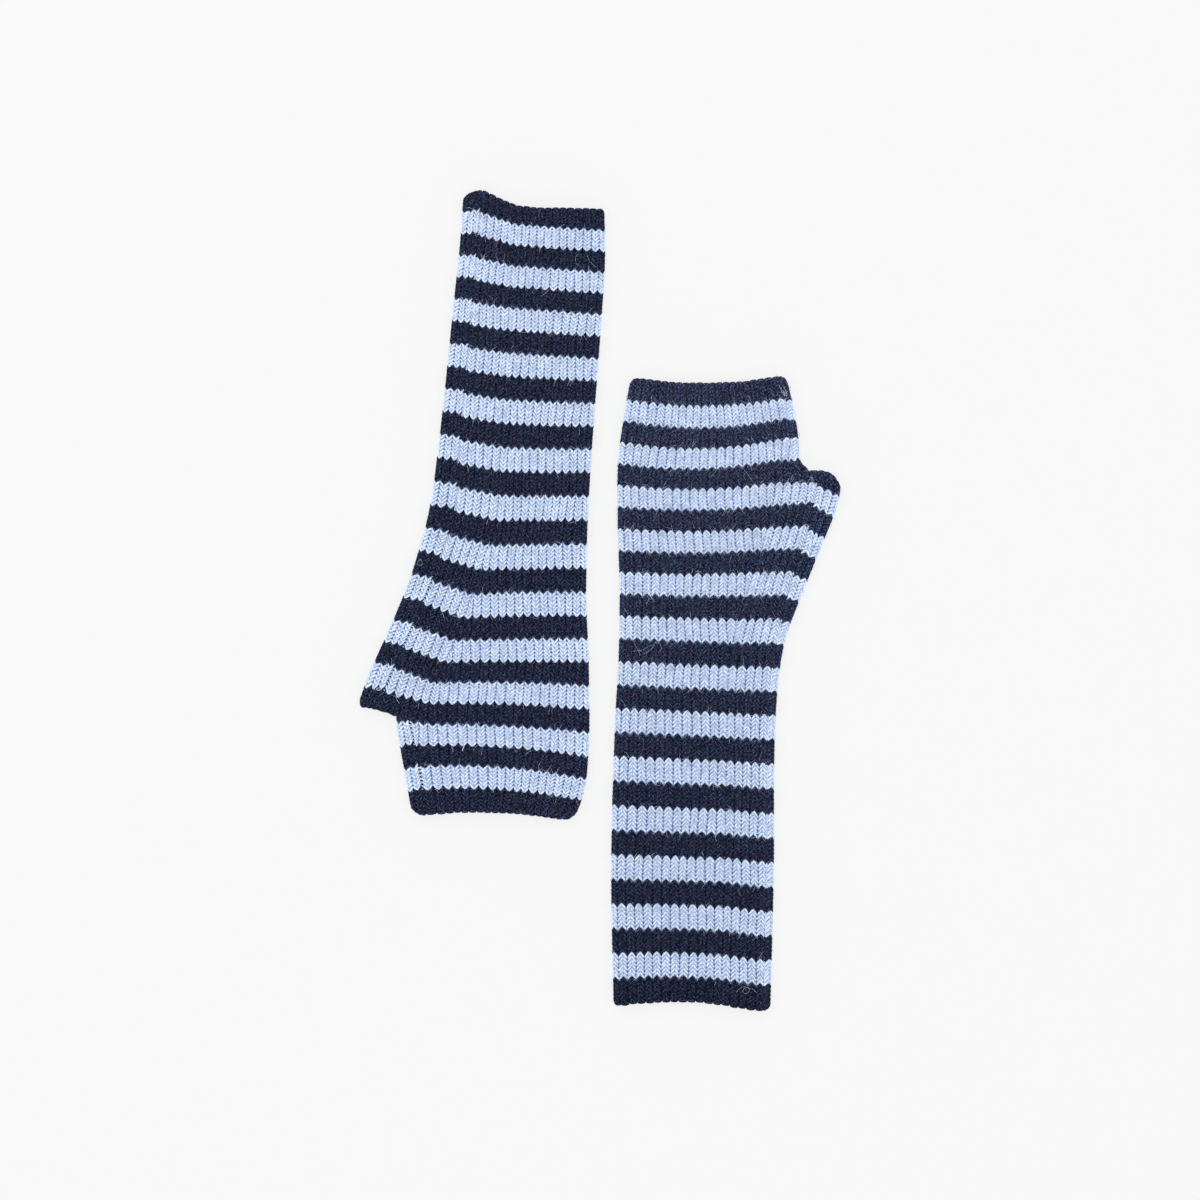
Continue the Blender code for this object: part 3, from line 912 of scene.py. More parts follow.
@dataclass
class Strands:
    """Many strands of yarn or fibre of one kind, kept as arrays until they become one mesh.

    The side shade (a painted shade) is how much darker a strand's sides are than its top, where the strands
    beside it would shade it, and the tip shades are how much of it the two tips have. The grain's run and
    round are the length and the radius of a strand in the fibre pattern, and its shift is how far apart
    strands lie in it.
    """

    sides: int
    flatness: float = 1.0
    side_shade: float = 0.0
    tip_shades: Pair = (1.0, 1.5)
    grain_run: float = 1.2
    grain_round: float = 2.6
    grain_shift: float = 40.0
    points: list[Array] = field(default_factory=list)
    triangles: list[Array] = field(default_factory=list)
    quads: list[Array] = field(default_factory=list)
    vectors: list[Array] = field(default_factory=list)
    tints_and_shades: list[Array] = field(default_factory=list)
    count: int = 0

    def add(
        self,
        middles: Array,
        normals: Array,
        radii: Array,
        rng: np.random.Generator,
        change: float,
        lightness: Array | float = 1.0,
    ) -> None:
        """Adds strands that follow given lines.

        Every line's first and last point is a tip. At each point between them a ring is laid: the middle
        plus the radius times cosine across the line and sine along the cloth's normal.

        Args:
            middles: Lines of points, one line for each strand.
            normals: The way that the cloth faces at each point.
            radii: The radius at each ring.
            rng: The random numbers for the strands' shades.
            change: How much lighter or darker one strand may be than another.
            lightness: A factor for each strand's colour.
        """
        lines, stations, _ = middles.shape
        if not lines:
            return
        rings = stations - 2
        along = unit(np.gradient(middles, axis=1))[:, 1:-1, None]
        faced = normals[:, 1:-1, None]
        up = unit(faced - (faced * along).sum(axis=-1, keepdims=True) * along)
        angles = math.pi / 2 + 2 * math.pi * np.arange(self.sides) / self.sides
        cosines, sines = np.cos(angles)[:, None], np.sin(angles)[:, None]
        offsets = (np.cross(along, up) * cosines + up * (sines * self.flatness)) * radii[:, :, None, None]
        sheath = (middles[:, 1:-1, None] + offsets).reshape(lines, -1, 3)
        points = np.concatenate([middles[:, :1], sheath, middles[:, -1:]], axis=1).reshape(-1, 3)
        triangles, quads = strand_faces(rings, self.sides)
        first = self.count + np.arange(lines)[:, None, None] * (2 + rings * self.sides)
        self.points.append(points)
        self.triangles.append((triangles + first).reshape(-1, 3))
        self.quads.append((quads + first).reshape(-1, 4))
        # Painted shade: each ring is darker on the strand's sides than on its top, and the tips are darker
        # still.
        head, tail = self.tip_shades
        painted_shade = 1 - self.side_shade * np.concatenate([[head], 1 - np.tile(sines.ravel(), rings), [tail]])
        self.tints_and_shades.append(np.outer(lightness * (1 + change * rng.uniform(-1, 1, lines)), painted_shade).ravel())
        vectors = np.zeros((2 + rings * self.sides, 3))
        vectors[1:-1, 0] = np.repeat(np.linspace(0, self.grain_run, stations)[1:-1], self.sides)
        vectors[1:-1, 1:] = np.tile(np.hstack([cosines, sines]) * self.grain_round, (rings, 1))
        vectors[-1, 0] = self.grain_run
        shifts = rng.uniform(-self.grain_shift, self.grain_shift, (lines, 1, 3))
        self.vectors.append((vectors + shifts).reshape(-1, 3))
        self.count += len(points)

    def piece(self, name: str, material: Material) -> Piece:
        """Makes the strands one object, with the attributes that its finish reads.

        Args:
            name: The piece's name.
            material: Its finish.

        Returns:
            The object.
        """
        parts = (self.points, self.quads, self.triangles, self.vectors, self.tints_and_shades)
        points, quads, triangles, vectors, tints_and_shades = (np.concatenate(part) for part in parts)
        return mesh_object(name, points, quads, material, triangles, {"strand": vectors, "tint": tints_and_shades})


@dataclass(frozen=True)
class StrandShape:
    """The course of one bent strand on the cloth, step by step.

    A stitch's leg runs from its point at the fingers' side to its valley, and a bound-off loop from rib to
    rib. Each field but the last has a value at every step: how far out it lies, as a share of the rib,
    from the rib's middle for a leg and from its side for a loop, how many courses it is past the stitch's
    middle or the edge, how much deeper it lies than at its highest, and its thickness between the tips,
    as a share of the yarn's.
    """

    out: tuple[float, ...]
    past: tuple[float, ...]
    deep: tuple[float, ...]
    thick: tuple[float, ...]
    sides: int


LEGS = {
    Layer.UPPER: StrandShape(
        out=(0.0, 0.045, 0.195, 0.40, 0.51),
        past=(1.02, 0.60, 0.13, -0.50, -1.00),
        deep=(0.00040, 0.00004, 0.0, 0.00036, 0.00090),
        thick=(0.68, 1.0, 0.84),
        sides=5,
    ),
    Layer.UNDER: StrandShape(
        out=(0.0, 0.10, 0.34, 0.50),
        past=(0.98, 0.38, -0.32, -0.94),
        deep=(0.00045, 0.0, 0.00020, 0.00095),
        thick=(0.96, 0.94),
        sides=4,
    ),
}
BOUND_LOOP = StrandShape(
    out=(-0.10, 0.16, 0.50, 0.84, 1.10),
    past=(-0.34, -0.06, 0.0, -0.06, -0.34),
    deep=(0.0005, 0.00008, 0.0, 0.00008, 0.0005),
    thick=(0.9, 1.0, 0.9),
    sides=5,
)

# The selvedge's and the linking's short strands: how far out, along and deep each point lies.
SELVEDGE = (
    (0.00015, -0.00120, 0.0015), (0.00015, -0.00060, 0.0011), (0.00015, 0.00060, 0.0011),
    (0.00015, 0.00120, 0.0015),
)
THREAD = (
    (-0.00080, 0.00040, 0.0013), (-0.00030, 0.00016, 0.00052), (0.00045, -0.00016, 0.00052),
    (0.00100, -0.00040, 0.0013),
)

# The share of the short hairs that each stretch and part of the upper side gets.
HAIR_SHARES = {
    (Stretch.BODY, Part.ARM): 0.60,
    (Stretch.BAND, Part.ARM): 0.19,
    (Stretch.BAND, Part.HAND): 0.02,
    (Stretch.WRAP, Part.ARM): 0.05,
    (Stretch.OUTER_FOLD, Part.ARM): 0.05,
    (Stretch.THUMB_FOLD, Part.ARM): 0.04,
    (Stretch.THUMB_FOLD, Part.HAND): 0.01,
}


@dataclass(frozen=True)
class Stray:
    """A loose curly hair of the wool that lies on the upper layer.

    Its path is a smooth curve through places of the warmer's own frame, in millimetres.
    """

    path: tuple[Pair, ...]
    thickness: float = 0.75
    points: int = 40
    lift: float = 0.0003
    wave: float = 0.0002
    wave_run: float = 9.0
    dip: float = 0.0006
    dip_power: int = 8

    def line(self) -> Array:
        """Places the hair: a sine wave just over the stitches, with two ends that dip into them.

        Returns:
            Points along the hair.
        """
        table = Table(tuple((float(place), *spot) for place, spot in enumerate(self.path)))
        run = np.linspace(0, 1, self.points)
        flat = table.at(run * (len(self.path) - 1)) / 1000
        dips = self.dip * (2 * run - 1) ** self.dip_power
        heights = HEIGHT + self.lift + self.wave * np.sin(self.wave_run * run) - dips
        return np.column_stack([flat, heights])


@dataclass
class Warmer:
    """One wrist warmer: the wall of its cloth, its stitches, its edges, its seam and its fuzz.

    Where a field is a change, it says how much one strand differs from the next.
    """

    lay: Lay
    wools: dict[Yarn, Material]
    fuzz_wools: dict[Yarn, Material]
    ground: Material
    strays: tuple[Stray, ...]
    crest_depth: float = 0.00085
    valley_depth: float = 0.00132
    valley_lead: float = 0.92
    crest_lag: float = 0.38
    wall_steps: tuple[float, ...] = (0.0, 0.25, 0.5, 0.75)
    wall_courses: float = 3.0
    wall_close: tuple[float, ...] = (0.25, 0.6, 1.2)
    rim: float = 0.40
    yarn_radius: float = 0.00060
    yarn_flatness: float = 0.98
    fold_thickness: float = 1.25
    fold_dip: float = 0.7
    least_rib: float = 0.32
    course_change: float = 0.045
    place_change: float = 0.012
    thickness_change: float = 0.08
    shade_change: float = 0.10
    # How much darker each strand's sides and tips are painted, as shade from the strands beside it.
    side_shade: float = 0.44
    edge_radius: float = 0.00070
    edge_inset: float = 0.00035
    edge_depths: Pair = (0.0008, 0.0020)
    edge_change: float = 0.05
    selvedge_radius: float = 0.00052
    thread_sides: int = 4
    thread_radius: float = 0.00033
    # The seam's threads are darkened by this factor: painted shade, as in the valleys between the ribs.
    thread_painted_shade: float = 0.60
    thread_change: float = 0.10
    thread_thickness_change: float = 0.15
    hairs: int = 19000
    hair_sides: int = 3
    hair_radius: float = 0.000045
    hair_radii: Pair = (0.6, 1.3)
    hair_taper: Pair = (1.0, 0.8)
    hair_lengths: Pair = (0.0012, 0.0050)
    hair_steps: tuple[float, ...] = (0.0, 0.3, 0.7, 1.0)
    hair_root: float = 0.00030
    hair_bend: float = 0.35
    hair_lifts: Pair = (0.05, 0.50)
    hair_fall: float = 0.55
    hair_clearance: float = 0.0003
    hair_course_change: float = 0.35
    hair_shade_change: float = 0.3
    stray_shade_change: float = 0.1
    fold_hair_length: float = 0.45
    fold_hair_turn: float = 0.35

    def __post_init__(self) -> None:
        """Starts the warmer's random numbers."""
        self.rng = np.random.default_rng(self.lay.seed)

    def wall_column(self, patch: Patch, rib: int, fraction: float, courses: Array) -> tuple[Array, ...]:
        """One line of the wall's outer and inner skins, along the courses.

        The outer skin is a parabola across each rib, from the valley's depth to the crest's, lower where
        the rib is narrow.

        Args:
            patch: The patch of the cloth.
            rib: The rib.
            fraction: How far across the rib the line runs.
            courses: The courses of the line's points.

        Returns:
            The outer and the inner points, and how near the rib's crest each lies, from 0 to 1.
        """
        same = np.ones(len(courses), int)
        widths = self.lay.widths(patch.stretch, patch.part, courses)
        crest = same * (1 - (2 * fraction - 1) ** 2)
        crown = crest * (widths[:, rib] if widths.size else 0.0)
        depths = self.valley_depth - (self.valley_depth - self.crest_depth) * crown
        places = Places(patch, courses, same * rib, same * fraction, depths)
        outer, _ = self.lay.spots(places, close_up=False)
        inner, _ = self.lay.spots(places, inner=True, close_up=False)
        return outer, inner, crest

    def round_columns(self, part: Part) -> list[tuple[Patch, int, float]]:
        """The wall's lines once round the tube, from one side of the seam to the other.

        Args:
            part: The forearm part or the hand part.

        Returns:
            The patch, rib and fraction of each line.
        """

        def ahead(stretch: Stretch, layer: Layer, to_end: bool) -> list[tuple[Patch, int, float]]:
            """Lists the lines of a stretch from its start.

            Args:
                stretch: The stretch of ribs.
                layer: The upper or the under layer.
                to_end: True to end with the stretch's last edge.

            Returns:
                The patch, rib and fraction of each line.
            """
            patch, ribs = Patch(stretch, part, layer), max(self.lay.rib_count(stretch, part), 1)
            lines = [(patch, rib, step) for rib in range(ribs) for step in self.wall_steps]
            return lines + [(patch, ribs - 1, 1.0)] * to_end

        return (
            ahead(Stretch.BAND, Layer.UPPER, True)[:0:-1]
            + ahead(Stretch.BODY, Layer.UPPER, True)[:0:-1]
            + ahead(Stretch.OUTER_FOLD, Layer.UPPER, False)
            + ahead(Stretch.BODY, Layer.UNDER, False)
            + ahead(Stretch.BAND, Layer.UNDER, False)
            + ahead(Stretch.WRAP, Layer.UNDER, False)
            + ahead(Stretch.THUMB_FOLD, Layer.UNDER, True)[:0:-1]
            + ahead(Stretch.WRAP, Layer.UPPER, True)[::-1]
        )

    def make_wall(self) -> Piece:
        """Builds the closed wall of the cloth.

        The forearm part and the hand part are grids of courses and lines. The hand's first course shares
        the points between the thumb's crotch and the outer fold with the last course below it, so the
        mouth stays open. Every open edge is closed between the two skins. The wall ends a rim's courses
        short of the forearm and finger ends, where the bound-off loops round off the cloth.

        Returns:
            The wall. Its attributes are the crown of every point, and the course, which runs ahead between
            the ribs and behind on their crests as the points of the stitches do.
        """
        outers, inners, lines, crowns, grids, count = [], [], [], [], [], 0
        for part in Part:
            start, end = max(part.value[0], self.rim), min(part.value[1], COURSES - self.rim)
            even = np.linspace(start, end, round((end - start) / self.wall_courses) + 1)
            near = np.array(self.wall_close)
            courses = np.unique(np.concatenate([even, start + near, end - near]))
            columns = [self.wall_column(*column, courses) for column in self.round_columns(part)]
            outer, inner, crown = (np.stack(arrays, axis=1) for arrays in zip(*columns))
            outers.append(outer.reshape(-1, 3))
            inners.append(inner.reshape(-1, 3))
            crowns.append(crown.ravel())
            ahead = self.valley_lead - (self.valley_lead + self.crest_lag) * crown
            lines.append(np.clip(courses[:, None] + ahead, END_MARGIN, COURSES - END_MARGIN).ravel())
            grids.append(count + np.arange(crown.size).reshape(crown.shape))
            count += crown.size
        bound = self.lay.bound_ribs * len(self.wall_steps)
        ribs = 2 * (self.lay.kept_ribs + self.lay.rib_count(Stretch.BODY, Part.ARM)) + FOLD_RIBS
        shared = ribs * len(self.wall_steps) + 1
        grids[1][0, :shared] = grids[0][-1, bound : bound + shared]
        quads = np.concatenate([
            np.stack([g[:-1, :-1], g[:-1, 1:], g[1:, 1:], g[1:, :-1]], axis=-1).reshape(-1, 4) for g in grids
        ])
        edges = np.concatenate([quads[:, [i, (i + 1) % 4]] for i in range(4)])
        _, where, uses = np.unique(np.sort(edges, axis=1), axis=0, return_inverse=True, return_counts=True)
        rim = edges[uses[where.ravel()] == 1]
        rims = np.column_stack([rim[:, 1], rim[:, 0], rim[:, 0] + count, rim[:, 1] + count])
        faces = np.concatenate([quads, quads[:, ::-1] + count, rims])
        kept = {"course": np.concatenate(lines * 2), "crown": np.concatenate(crowns * 2)}
        points = np.vstack(outers + inners)
        wall = mesh_object(f"{self.lay.name}_cloth", points, faces, self.ground, attributes=kept)
        shell = bmesh.new()
        shell.from_mesh(wall.data)
        loose = [vert for vert in shell.verts if not vert.link_faces]
        bmesh.ops.delete(shell, geom=loose, context="VERTS")
        bmesh.ops.remove_doubles(shell, verts=shell.verts, dist=NO_LENGTH)
        bmesh.ops.recalc_face_normals(shell, faces=shell.faces)
        shell.to_mesh(wall.data)
        shell.free()
        return wall

    def share_out(
        self,
        strands: dict[Yarn, Strands],
        blue: Array,
        bundle: tuple[Array, Array, Array],
        change: float,
        courses: Array | None = None,
        lightness: float = 1.0,
    ) -> None:
        """Adds a bundle of strands to those of their yarn.

        Args:
            strands: The strands of each yarn.
            blue: Which strands of the bundle are blue.
            bundle: The bundle's middles, normals and radii.
            change: How much lighter or darker one strand may be than another.
            courses: The course of each strand, where the yarn's shade there counts.
            lightness: A factor for the bundle's colour.
        """
        for yarn, chosen in ((Yarn.NAVY, ~blue), (Yarn.BLUE, blue)):
            shade = 1.0 if courses is None else along_courses(self.lay.shades[yarn], courses[chosen])
            strands[yarn].add(*(part[chosen] for part in bundle), self.rng, change, lightness * shade)

    def traced(
        self, patch: Patch, courses: Array, ribs: Array, fractions: Array, depths: Array
    ) -> tuple[Array, Array]:
        """Lines of places of a patch, as lines of points and of the ways that the cloth faces.

        Args:
            patch: The patch.
            courses: The courses, one row for each line.
            ribs: The rib of each line.
            fractions: The fractions, one row for each line.
            depths: The depths, one row for each line.

        Returns:
            The points and the unit normals.
        """
        steps = courses.shape[1]
        places = Places(patch, courses.ravel(), np.repeat(ribs, steps), fractions.ravel(), depths.ravel())
        points, normals = self.lay.spots(places)
        return points.reshape(-1, steps, 3), normals.reshape(-1, steps, 3)

    def add_legs(self, strands: dict[Yarn, Strands], patch: Patch) -> None:
        """Adds the stitches of a patch to the strands of its layer.

        Each stitch is two legs, mirrored in the rib's middle. A leg's points are its shape's steps, laid
        on the cloth by rib, course and depth, and kept clear of the edges.

        Args:
            strands: The layer's strands of each yarn.
            patch: The patch.
        """
        shape = LEGS[patch.layer]
        rows = np.arange(patch.first, patch.last) + 0.5
        courses, ribs = (grid.ravel() for grid in np.meshgrid(rows, np.arange(patch.ribs), indexing="ij"))
        width = self.lay.widths(patch.stretch, patch.part, courses)[np.arange(len(courses)), ribs]
        kept = width >= self.least_rib
        courses, ribs, width = courses[kept], ribs[kept], width[kept]
        margin = self.yarn_radius / COURSE_LENGTH
        low = (0 if patch.stretch is Stretch.BAND else patch.first) + margin
        high = np.where(ribs < patch.carried, math.inf, patch.last)[:, None] - margin
        thickness, dip = (self.fold_thickness, self.fold_dip) if patch.is_fold else (1.0, 1.0)
        for side in (-1.0, 1.0):
            moved = courses + self.rng.normal(0, self.course_change, len(courses))
            wander = self.rng.normal(0, self.place_change, len(courses))
            radius = self.yarn_radius * (1 + self.rng.normal(0, self.thickness_change, len(courses)))
            radius = (radius * (np.sqrt(width) * thickness))[:, None]
            course = np.clip(moved[:, None] + np.array(shape.past), low, high)
            fraction = 0.5 + side * np.array(shape.out) + wander[:, None]
            depth = radius * self.yarn_flatness + np.array(shape.deep) * dip
            points, normals = self.traced(patch, course, ribs, fraction, depth)
            bundle = (points, normals, radius * np.array(shape.thick))
            self.share_out(strands, is_blue(courses), bundle, self.shade_change, courses)

    def make_stitches(self) -> list[Piece]:
        """Builds the stitches of both layers in both yarns, with the selvedges.

        Returns:
            One piece for each layer and yarn.
        """
        strands = {
            layer: {yarn: Strands(LEGS[layer].sides, self.yarn_flatness, self.side_shade) for yarn in Yarn}
            for layer in Layer
        }
        for patch in self.lay.patches():
            self.add_legs(strands[patch.layer], patch)
        self.add_selvedges(strands)
        return [
            strands[layer][yarn].piece(
                f"{self.lay.name}_{layer.name.lower()}_{yarn.value}_stitches", self.wools[yarn]
            )
            for layer in Layer
            for yarn in Yarn
        ]

    def bind_off(self, strands: Strands, patch: Patch, ribs: Array, end: float, way: float) -> None:
        """Adds two rows of loops along one open edge of a patch.

        A loop runs across its rib and a little into the next. It bows outwards along the courses, and
        its ends dip under its neighbours.

        Args:
            strands: The strands of the edges.
            patch: The patch.
            ribs: The ribs that end there.
            end: The course of the edge.
            way: 1 where the courses run outwards to the edge, and -1 at the forearm end.
        """
        widths = self.lay.widths(patch.stretch, patch.part, np.full(len(ribs), end))
        ribs = ribs[widths[np.arange(len(ribs)), ribs] >= self.least_rib]
        line = end + way * (np.array(BOUND_LOOP.past) - self.edge_inset / COURSE_LENGTH)
        shade = along_courses(self.lay.shades[Yarn.NAVY], np.full(len(ribs), end))
        for low in self.edge_depths:
            radius = self.edge_radius * (1 + self.rng.normal(0, self.thickness_change, (len(ribs), 1)))
            course = line + self.rng.normal(0, self.edge_change, (len(ribs), 1))
            fraction = np.broadcast_to(BOUND_LOOP.out, course.shape)
            depth = np.broadcast_to(low + np.array(BOUND_LOOP.deep), course.shape)
            points, normals = self.traced(patch, course, ribs, fraction, depth)
            radii = radius * np.array(BOUND_LOOP.thick)
            strands.add(points, normals, radii, self.rng, self.shade_change, shade)

    def make_edges(self) -> Piece:
        """Builds the bound-off edges along both open ends and round the thumb's mouth.

        Returns:
            The edges in navy yarn.
        """
        strands = Strands(BOUND_LOOP.sides, 1.0, self.side_shade)
        for patch in self.lay.patches():
            ribs = np.arange(patch.ribs)
            if patch.part is Part.ARM:
                self.bind_off(strands, patch, ribs, 0.0, -1.0)
            self.bind_off(strands, patch, ribs[patch.carried :], float(patch.last), 1.0)
        return strands.piece(f"{self.lay.name}_bound_edges", self.wools[Yarn.NAVY])

    def seam_lines(self, part: Part, layer: Layer, courses: Array, crossing: tuple) -> tuple[Array, Array]:
        """Lines of points at the seam, one for each course.

        Args:
            part: The forearm part or the hand part.
            layer: The layer that the lines lie on.
            courses: The course of each line.
            crossing: The points of one line: how far out, along and deep each lies, in metres.

        Returns:
            The lines and the way that the cloth faces along them.
        """
        seam = self.lay.edged(self.lay.corners(part, courses)["seam"], part, courses)
        out, along, deep = np.array(crossing).T
        lines = np.empty((len(courses), len(crossing), 3))
        lines[..., 0], lines[..., 1] = seam[:, :1] + out, seam[:, 1:] + along
        lines[..., 2] = HEIGHT - deep if layer is Layer.UPPER else deep
        lines = self.lay.laid(lines.reshape(-1, 3)).reshape(lines.shape)
        return lines, np.broadcast_to((0.0, 0.0, layer.value), lines.shape)

    def add_selvedges(self, strands: dict[Layer, dict[Yarn, Strands]]) -> None:
        """Adds the selvedge to the stitches: a short strand at each course, which fills the seam.

        Args:
            strands: The strands of each layer and yarn.
        """
        for part in Part:
            low, high = part.value
            courses = np.clip(np.arange(low, high) + 0.5, low + 1, high - 1)
            for layer in Layer:
                lines, ways = self.seam_lines(part, layer, courses, SELVEDGE)
                bundle = (lines, ways, np.full((len(courses), 2), self.selvedge_radius))
                self.share_out(strands[layer], is_blue(courses), bundle, self.shade_change, courses)

    def make_seam(self) -> list[Piece]:
        """Builds the linked seam: a short slanting thread over the seam at every course.

        A thread rises beside the last rib, crosses the seam, and dips again beyond it. The threads are
        darkened as painted shade.

        Returns:
            The threads of each yarn that the seam is linked with.
        """
        lay, made = self.lay, {yarn: Strands(self.thread_sides) for yarn in Yarn}
        rows = {Part.ARM: np.arange(max(lay.wrap_starts[0], 0.0) + 0.5, MOUTH_COURSE)}
        if lay.hand_wrap_starts:
            rows[Part.HAND] = np.arange(MOUTH_COURSE + 1.5, COURSES)
        for part, courses in rows.items():
            blue = is_blue(courses)
            if lay.linking:
                blue = np.where(courses < lay.linking_from, blue, lay.linking is Yarn.BLUE)
            for layer in Layer:
                shifted = courses + self.rng.normal(0, self.thread_change, len(courses))
                lines, ways = self.seam_lines(part, layer, shifted, THREAD)
                radii = 1 + self.rng.normal(0, self.thread_thickness_change, (len(courses), 2))
                bundle = (lines, ways, self.thread_radius * radii)
                self.share_out(made, blue, bundle, self.shade_change, courses, self.thread_painted_shade)
        return [
            strands.piece(f"{lay.name}_{yarn.value}_seam", self.wools[yarn])
            for yarn, strands in made.items()
            if strands.count
        ]

    def add_hairs(self, fuzz: dict[Yarn, Strands], patch: Patch, count: int) -> None:
        """Adds short hairs to the fuzz of each yarn.

        A hair starts just inside the yarn, at random, and seldom on a narrow rib or a thin nap. It runs
        level with the cloth in a random direction, bends sideways by the square of its length, and lifts a
        little and falls again.

        Args:
            fuzz: The strands of each yarn's fuzz.
            patch: The patch of the upper layer.
            count: How many hairs are tried.
        """
        rng = self.rng
        courses = rng.uniform(max(patch.first, 1), patch.last - 1, count)
        ribs = rng.integers(0, patch.ribs, count)
        width = self.lay.widths(patch.stretch, patch.part, courses)[np.arange(count), ribs]
        grown = rng.uniform(0, 1, count) < width * along_courses(self.lay.nap, courses)
        courses, ribs = courses[grown], ribs[grown]
        count = len(courses)
        fractions = rng.uniform(0, 1, count)
        if patch.is_fold:
            fractions = np.where(ribs == 1, fractions * self.fold_hair_turn, fractions)
        places = Places(patch, courses, ribs, fractions, np.full(count, self.hair_root))
        roots, normals = self.lay.spots(places)
        level = rng.normal(0, 1, (count, 3))
        level = unit(level - (level * normals).sum(axis=1, keepdims=True) * normals)
        aside = np.cross(normals, level)
        lengths = rng.uniform(*self.hair_lengths, count) * (self.fold_hair_length if patch.is_fold else 1.0)
        bend = rng.normal(0, self.hair_bend, count)[:, None, None]
        lift = rng.uniform(*self.hair_lifts, count)[:, None, None]
        steps = np.array(self.hair_steps)[None, :, None]
        long = lengths[:, None, None] * steps
        points = (
            roots[:, None]
            + level[:, None] * long
            + aside[:, None] * long * steps * bend
            + normals[:, None] * long * (1 - self.hair_fall * steps) * lift
        )
        points[..., 2] = np.maximum(points[..., 2], self.hair_clearance)
        radii = self.hair_radius * rng.uniform(*self.hair_radii, (count, 1)) * np.array(self.hair_taper)
        ways = np.broadcast_to(normals[:, None], points.shape)
        blue = is_blue(courses + rng.normal(0, self.hair_course_change, count))
        self.share_out(fuzz, blue, (points, ways, radii), self.hair_shade_change)

    def make_fuzz(self) -> list[Piece]:
        """Builds the fuzz of the brushed wool: short hairs all over the upper side, and the strays.

        Returns:
            The fuzz of each yarn.
        """
        lay, fuzz = self.lay, {yarn: Strands(self.hair_sides) for yarn in Yarn}
        upper = {(patch.stretch, patch.part): patch for patch in lay.patches() if patch.layer is Layer.UPPER}
        for spot, share in HAIR_SHARES.items():
            if spot[0] is not Stretch.WRAP or lay.hand_wrap_starts:
                self.add_hairs(fuzz, upper[spot], round(share * self.hairs))
        for stray in self.strays:
            line = lay.laid(stray.line())[None]
            ways = np.broadcast_to((0.0, 0.0, 1.0), line.shape)
            radii = np.full((1, stray.points - 2), stray.thickness * self.hair_radius)
            fuzz[Yarn.BLUE].add(line, ways, radii, self.rng, self.stray_shade_change)
        return [fuzz[yarn].piece(f"{lay.name}_{yarn.value}_fuzz", self.fuzz_wools[yarn]) for yarn in Yarn]

    def dress(self, wall: Piece, others: list[Piece]) -> None:
        """Attaches the pieces to the root body, logs their sizes, and hides the panel's solid under the wall.

        Args:
            wall: The wall of the cloth.
            others: The pieces on it.
        """
        for piece in (wall, *others):
            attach(piece, "root")
            points, faces = len(piece.data.vertices), len(piece.data.polygons)
            log.info("%s: %d points, %d faces", piece.name, points, faces)
        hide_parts(self.lay.node)

    def build(self) -> None:
        """Builds and dresses the whole warmer."""
        wall = self.make_wall()
        self.dress(wall, [*self.make_stitches(), self.make_edges(), *self.make_seam(), *self.make_fuzz()])


@dataclass(frozen=True)
class Studio:
    """The pale floor, the soft light and the camera, which looks straight down."""

    picture_width: float = 0.570
    picture_centre: Pair = (-0.0002, 0.0001)
    sensor: float = 36.0
    camera_height: float = 2.4
    object_height: float = 0.004
    clip: Pair = (0.05, 20.0)
    floor_size: float = 6.0
    floor_level: float = -0.0001
    floor_colour: Colour = (0.13, 0.13, 0.13)
    floor_glow: float = 0.780
    floor_grain: float = 30.0
    floor_grain_ends: Pair = (0.3, 0.7)
    floor_shade: float = 0.995
    sky_strength: float = 1.22
    lamp_size: float = 2.4
    lamp_power: float = 17.0
    lamp_place: tuple[float, float, float] = (-1.4, 1.4, 3.4)

    def make_floor(self) -> None:
        """Lays the floor just under the cloth, a plain pale sheet with a faint grain."""
        dye = Dye("pale_floor", {
            "Roughness": 1.0,
            "Specular IOR Level": 0.0,
            "Emission Color": (1.0, 1.0, 1.0, 1.0),
            "Emission Strength": self.floor_glow,
        })
        grain = dye.noise(dye.add("TexCoord", "Object", {}), self.floor_grain)
        dark = tuple(value * self.floor_shade for value in self.floor_colour)
        low, high = self.floor_grain_ends
        material = dye.finished(dye.ramp(grain, (low, dark), (high, self.floor_colour)))
        sides = self.floor_size / 2 * np.array(((-1, -1), (1, -1), (1, 1), (-1, 1)))
        points = np.column_stack([sides, np.full(4, self.floor_level)])
        mesh_object("floor", points, np.array([[0, 1, 2, 3]]), material)

    def make_light(self) -> None:
        """Lights the scene with a bright even sky and one large lamp from the upper left."""
        scene = bpy.context.scene
        scene.view_settings.view_transform = "Standard"
        scene.world = bpy.data.worlds.new("soft_sky")
        scene.world.use_nodes = True
        sky = scene.world.node_tree.nodes["Background"]
        sky.inputs["Color"].default_value = (1.0, 1.0, 1.0, 1.0)
        sky.inputs["Strength"].default_value = self.sky_strength
        lamp = bpy.data.lights.new("soft_lamp", "AREA")
        lamp.shape, lamp.size, lamp.energy = "SQUARE", self.lamp_size, self.lamp_power
        holder = bpy.data.objects.new("soft_lamp", lamp)
        holder.location = self.lamp_place
        x, y, z = self.lamp_place
        holder.rotation_euler = (math.atan2(math.hypot(x, y), z), 0.0, math.atan2(-y, -x) - math.pi / 2)
        scene.collection.objects.link(holder)

    def make_camera(self) -> None:
        """Places the camera straight above, where the photograph's width covers the picture's width."""
        scene = bpy.context.scene
        camera = bpy.data.cameras.new("camera")
        camera.sensor_width = self.sensor
        camera.lens = self.sensor * self.camera_height / self.picture_width
        camera.clip_start, camera.clip_end = self.clip
        holder = bpy.data.objects.new("camera", camera)
        holder.location = (*self.picture_centre, self.camera_height + self.object_height)
        scene.collection.objects.link(holder)
        scene.camera = holder


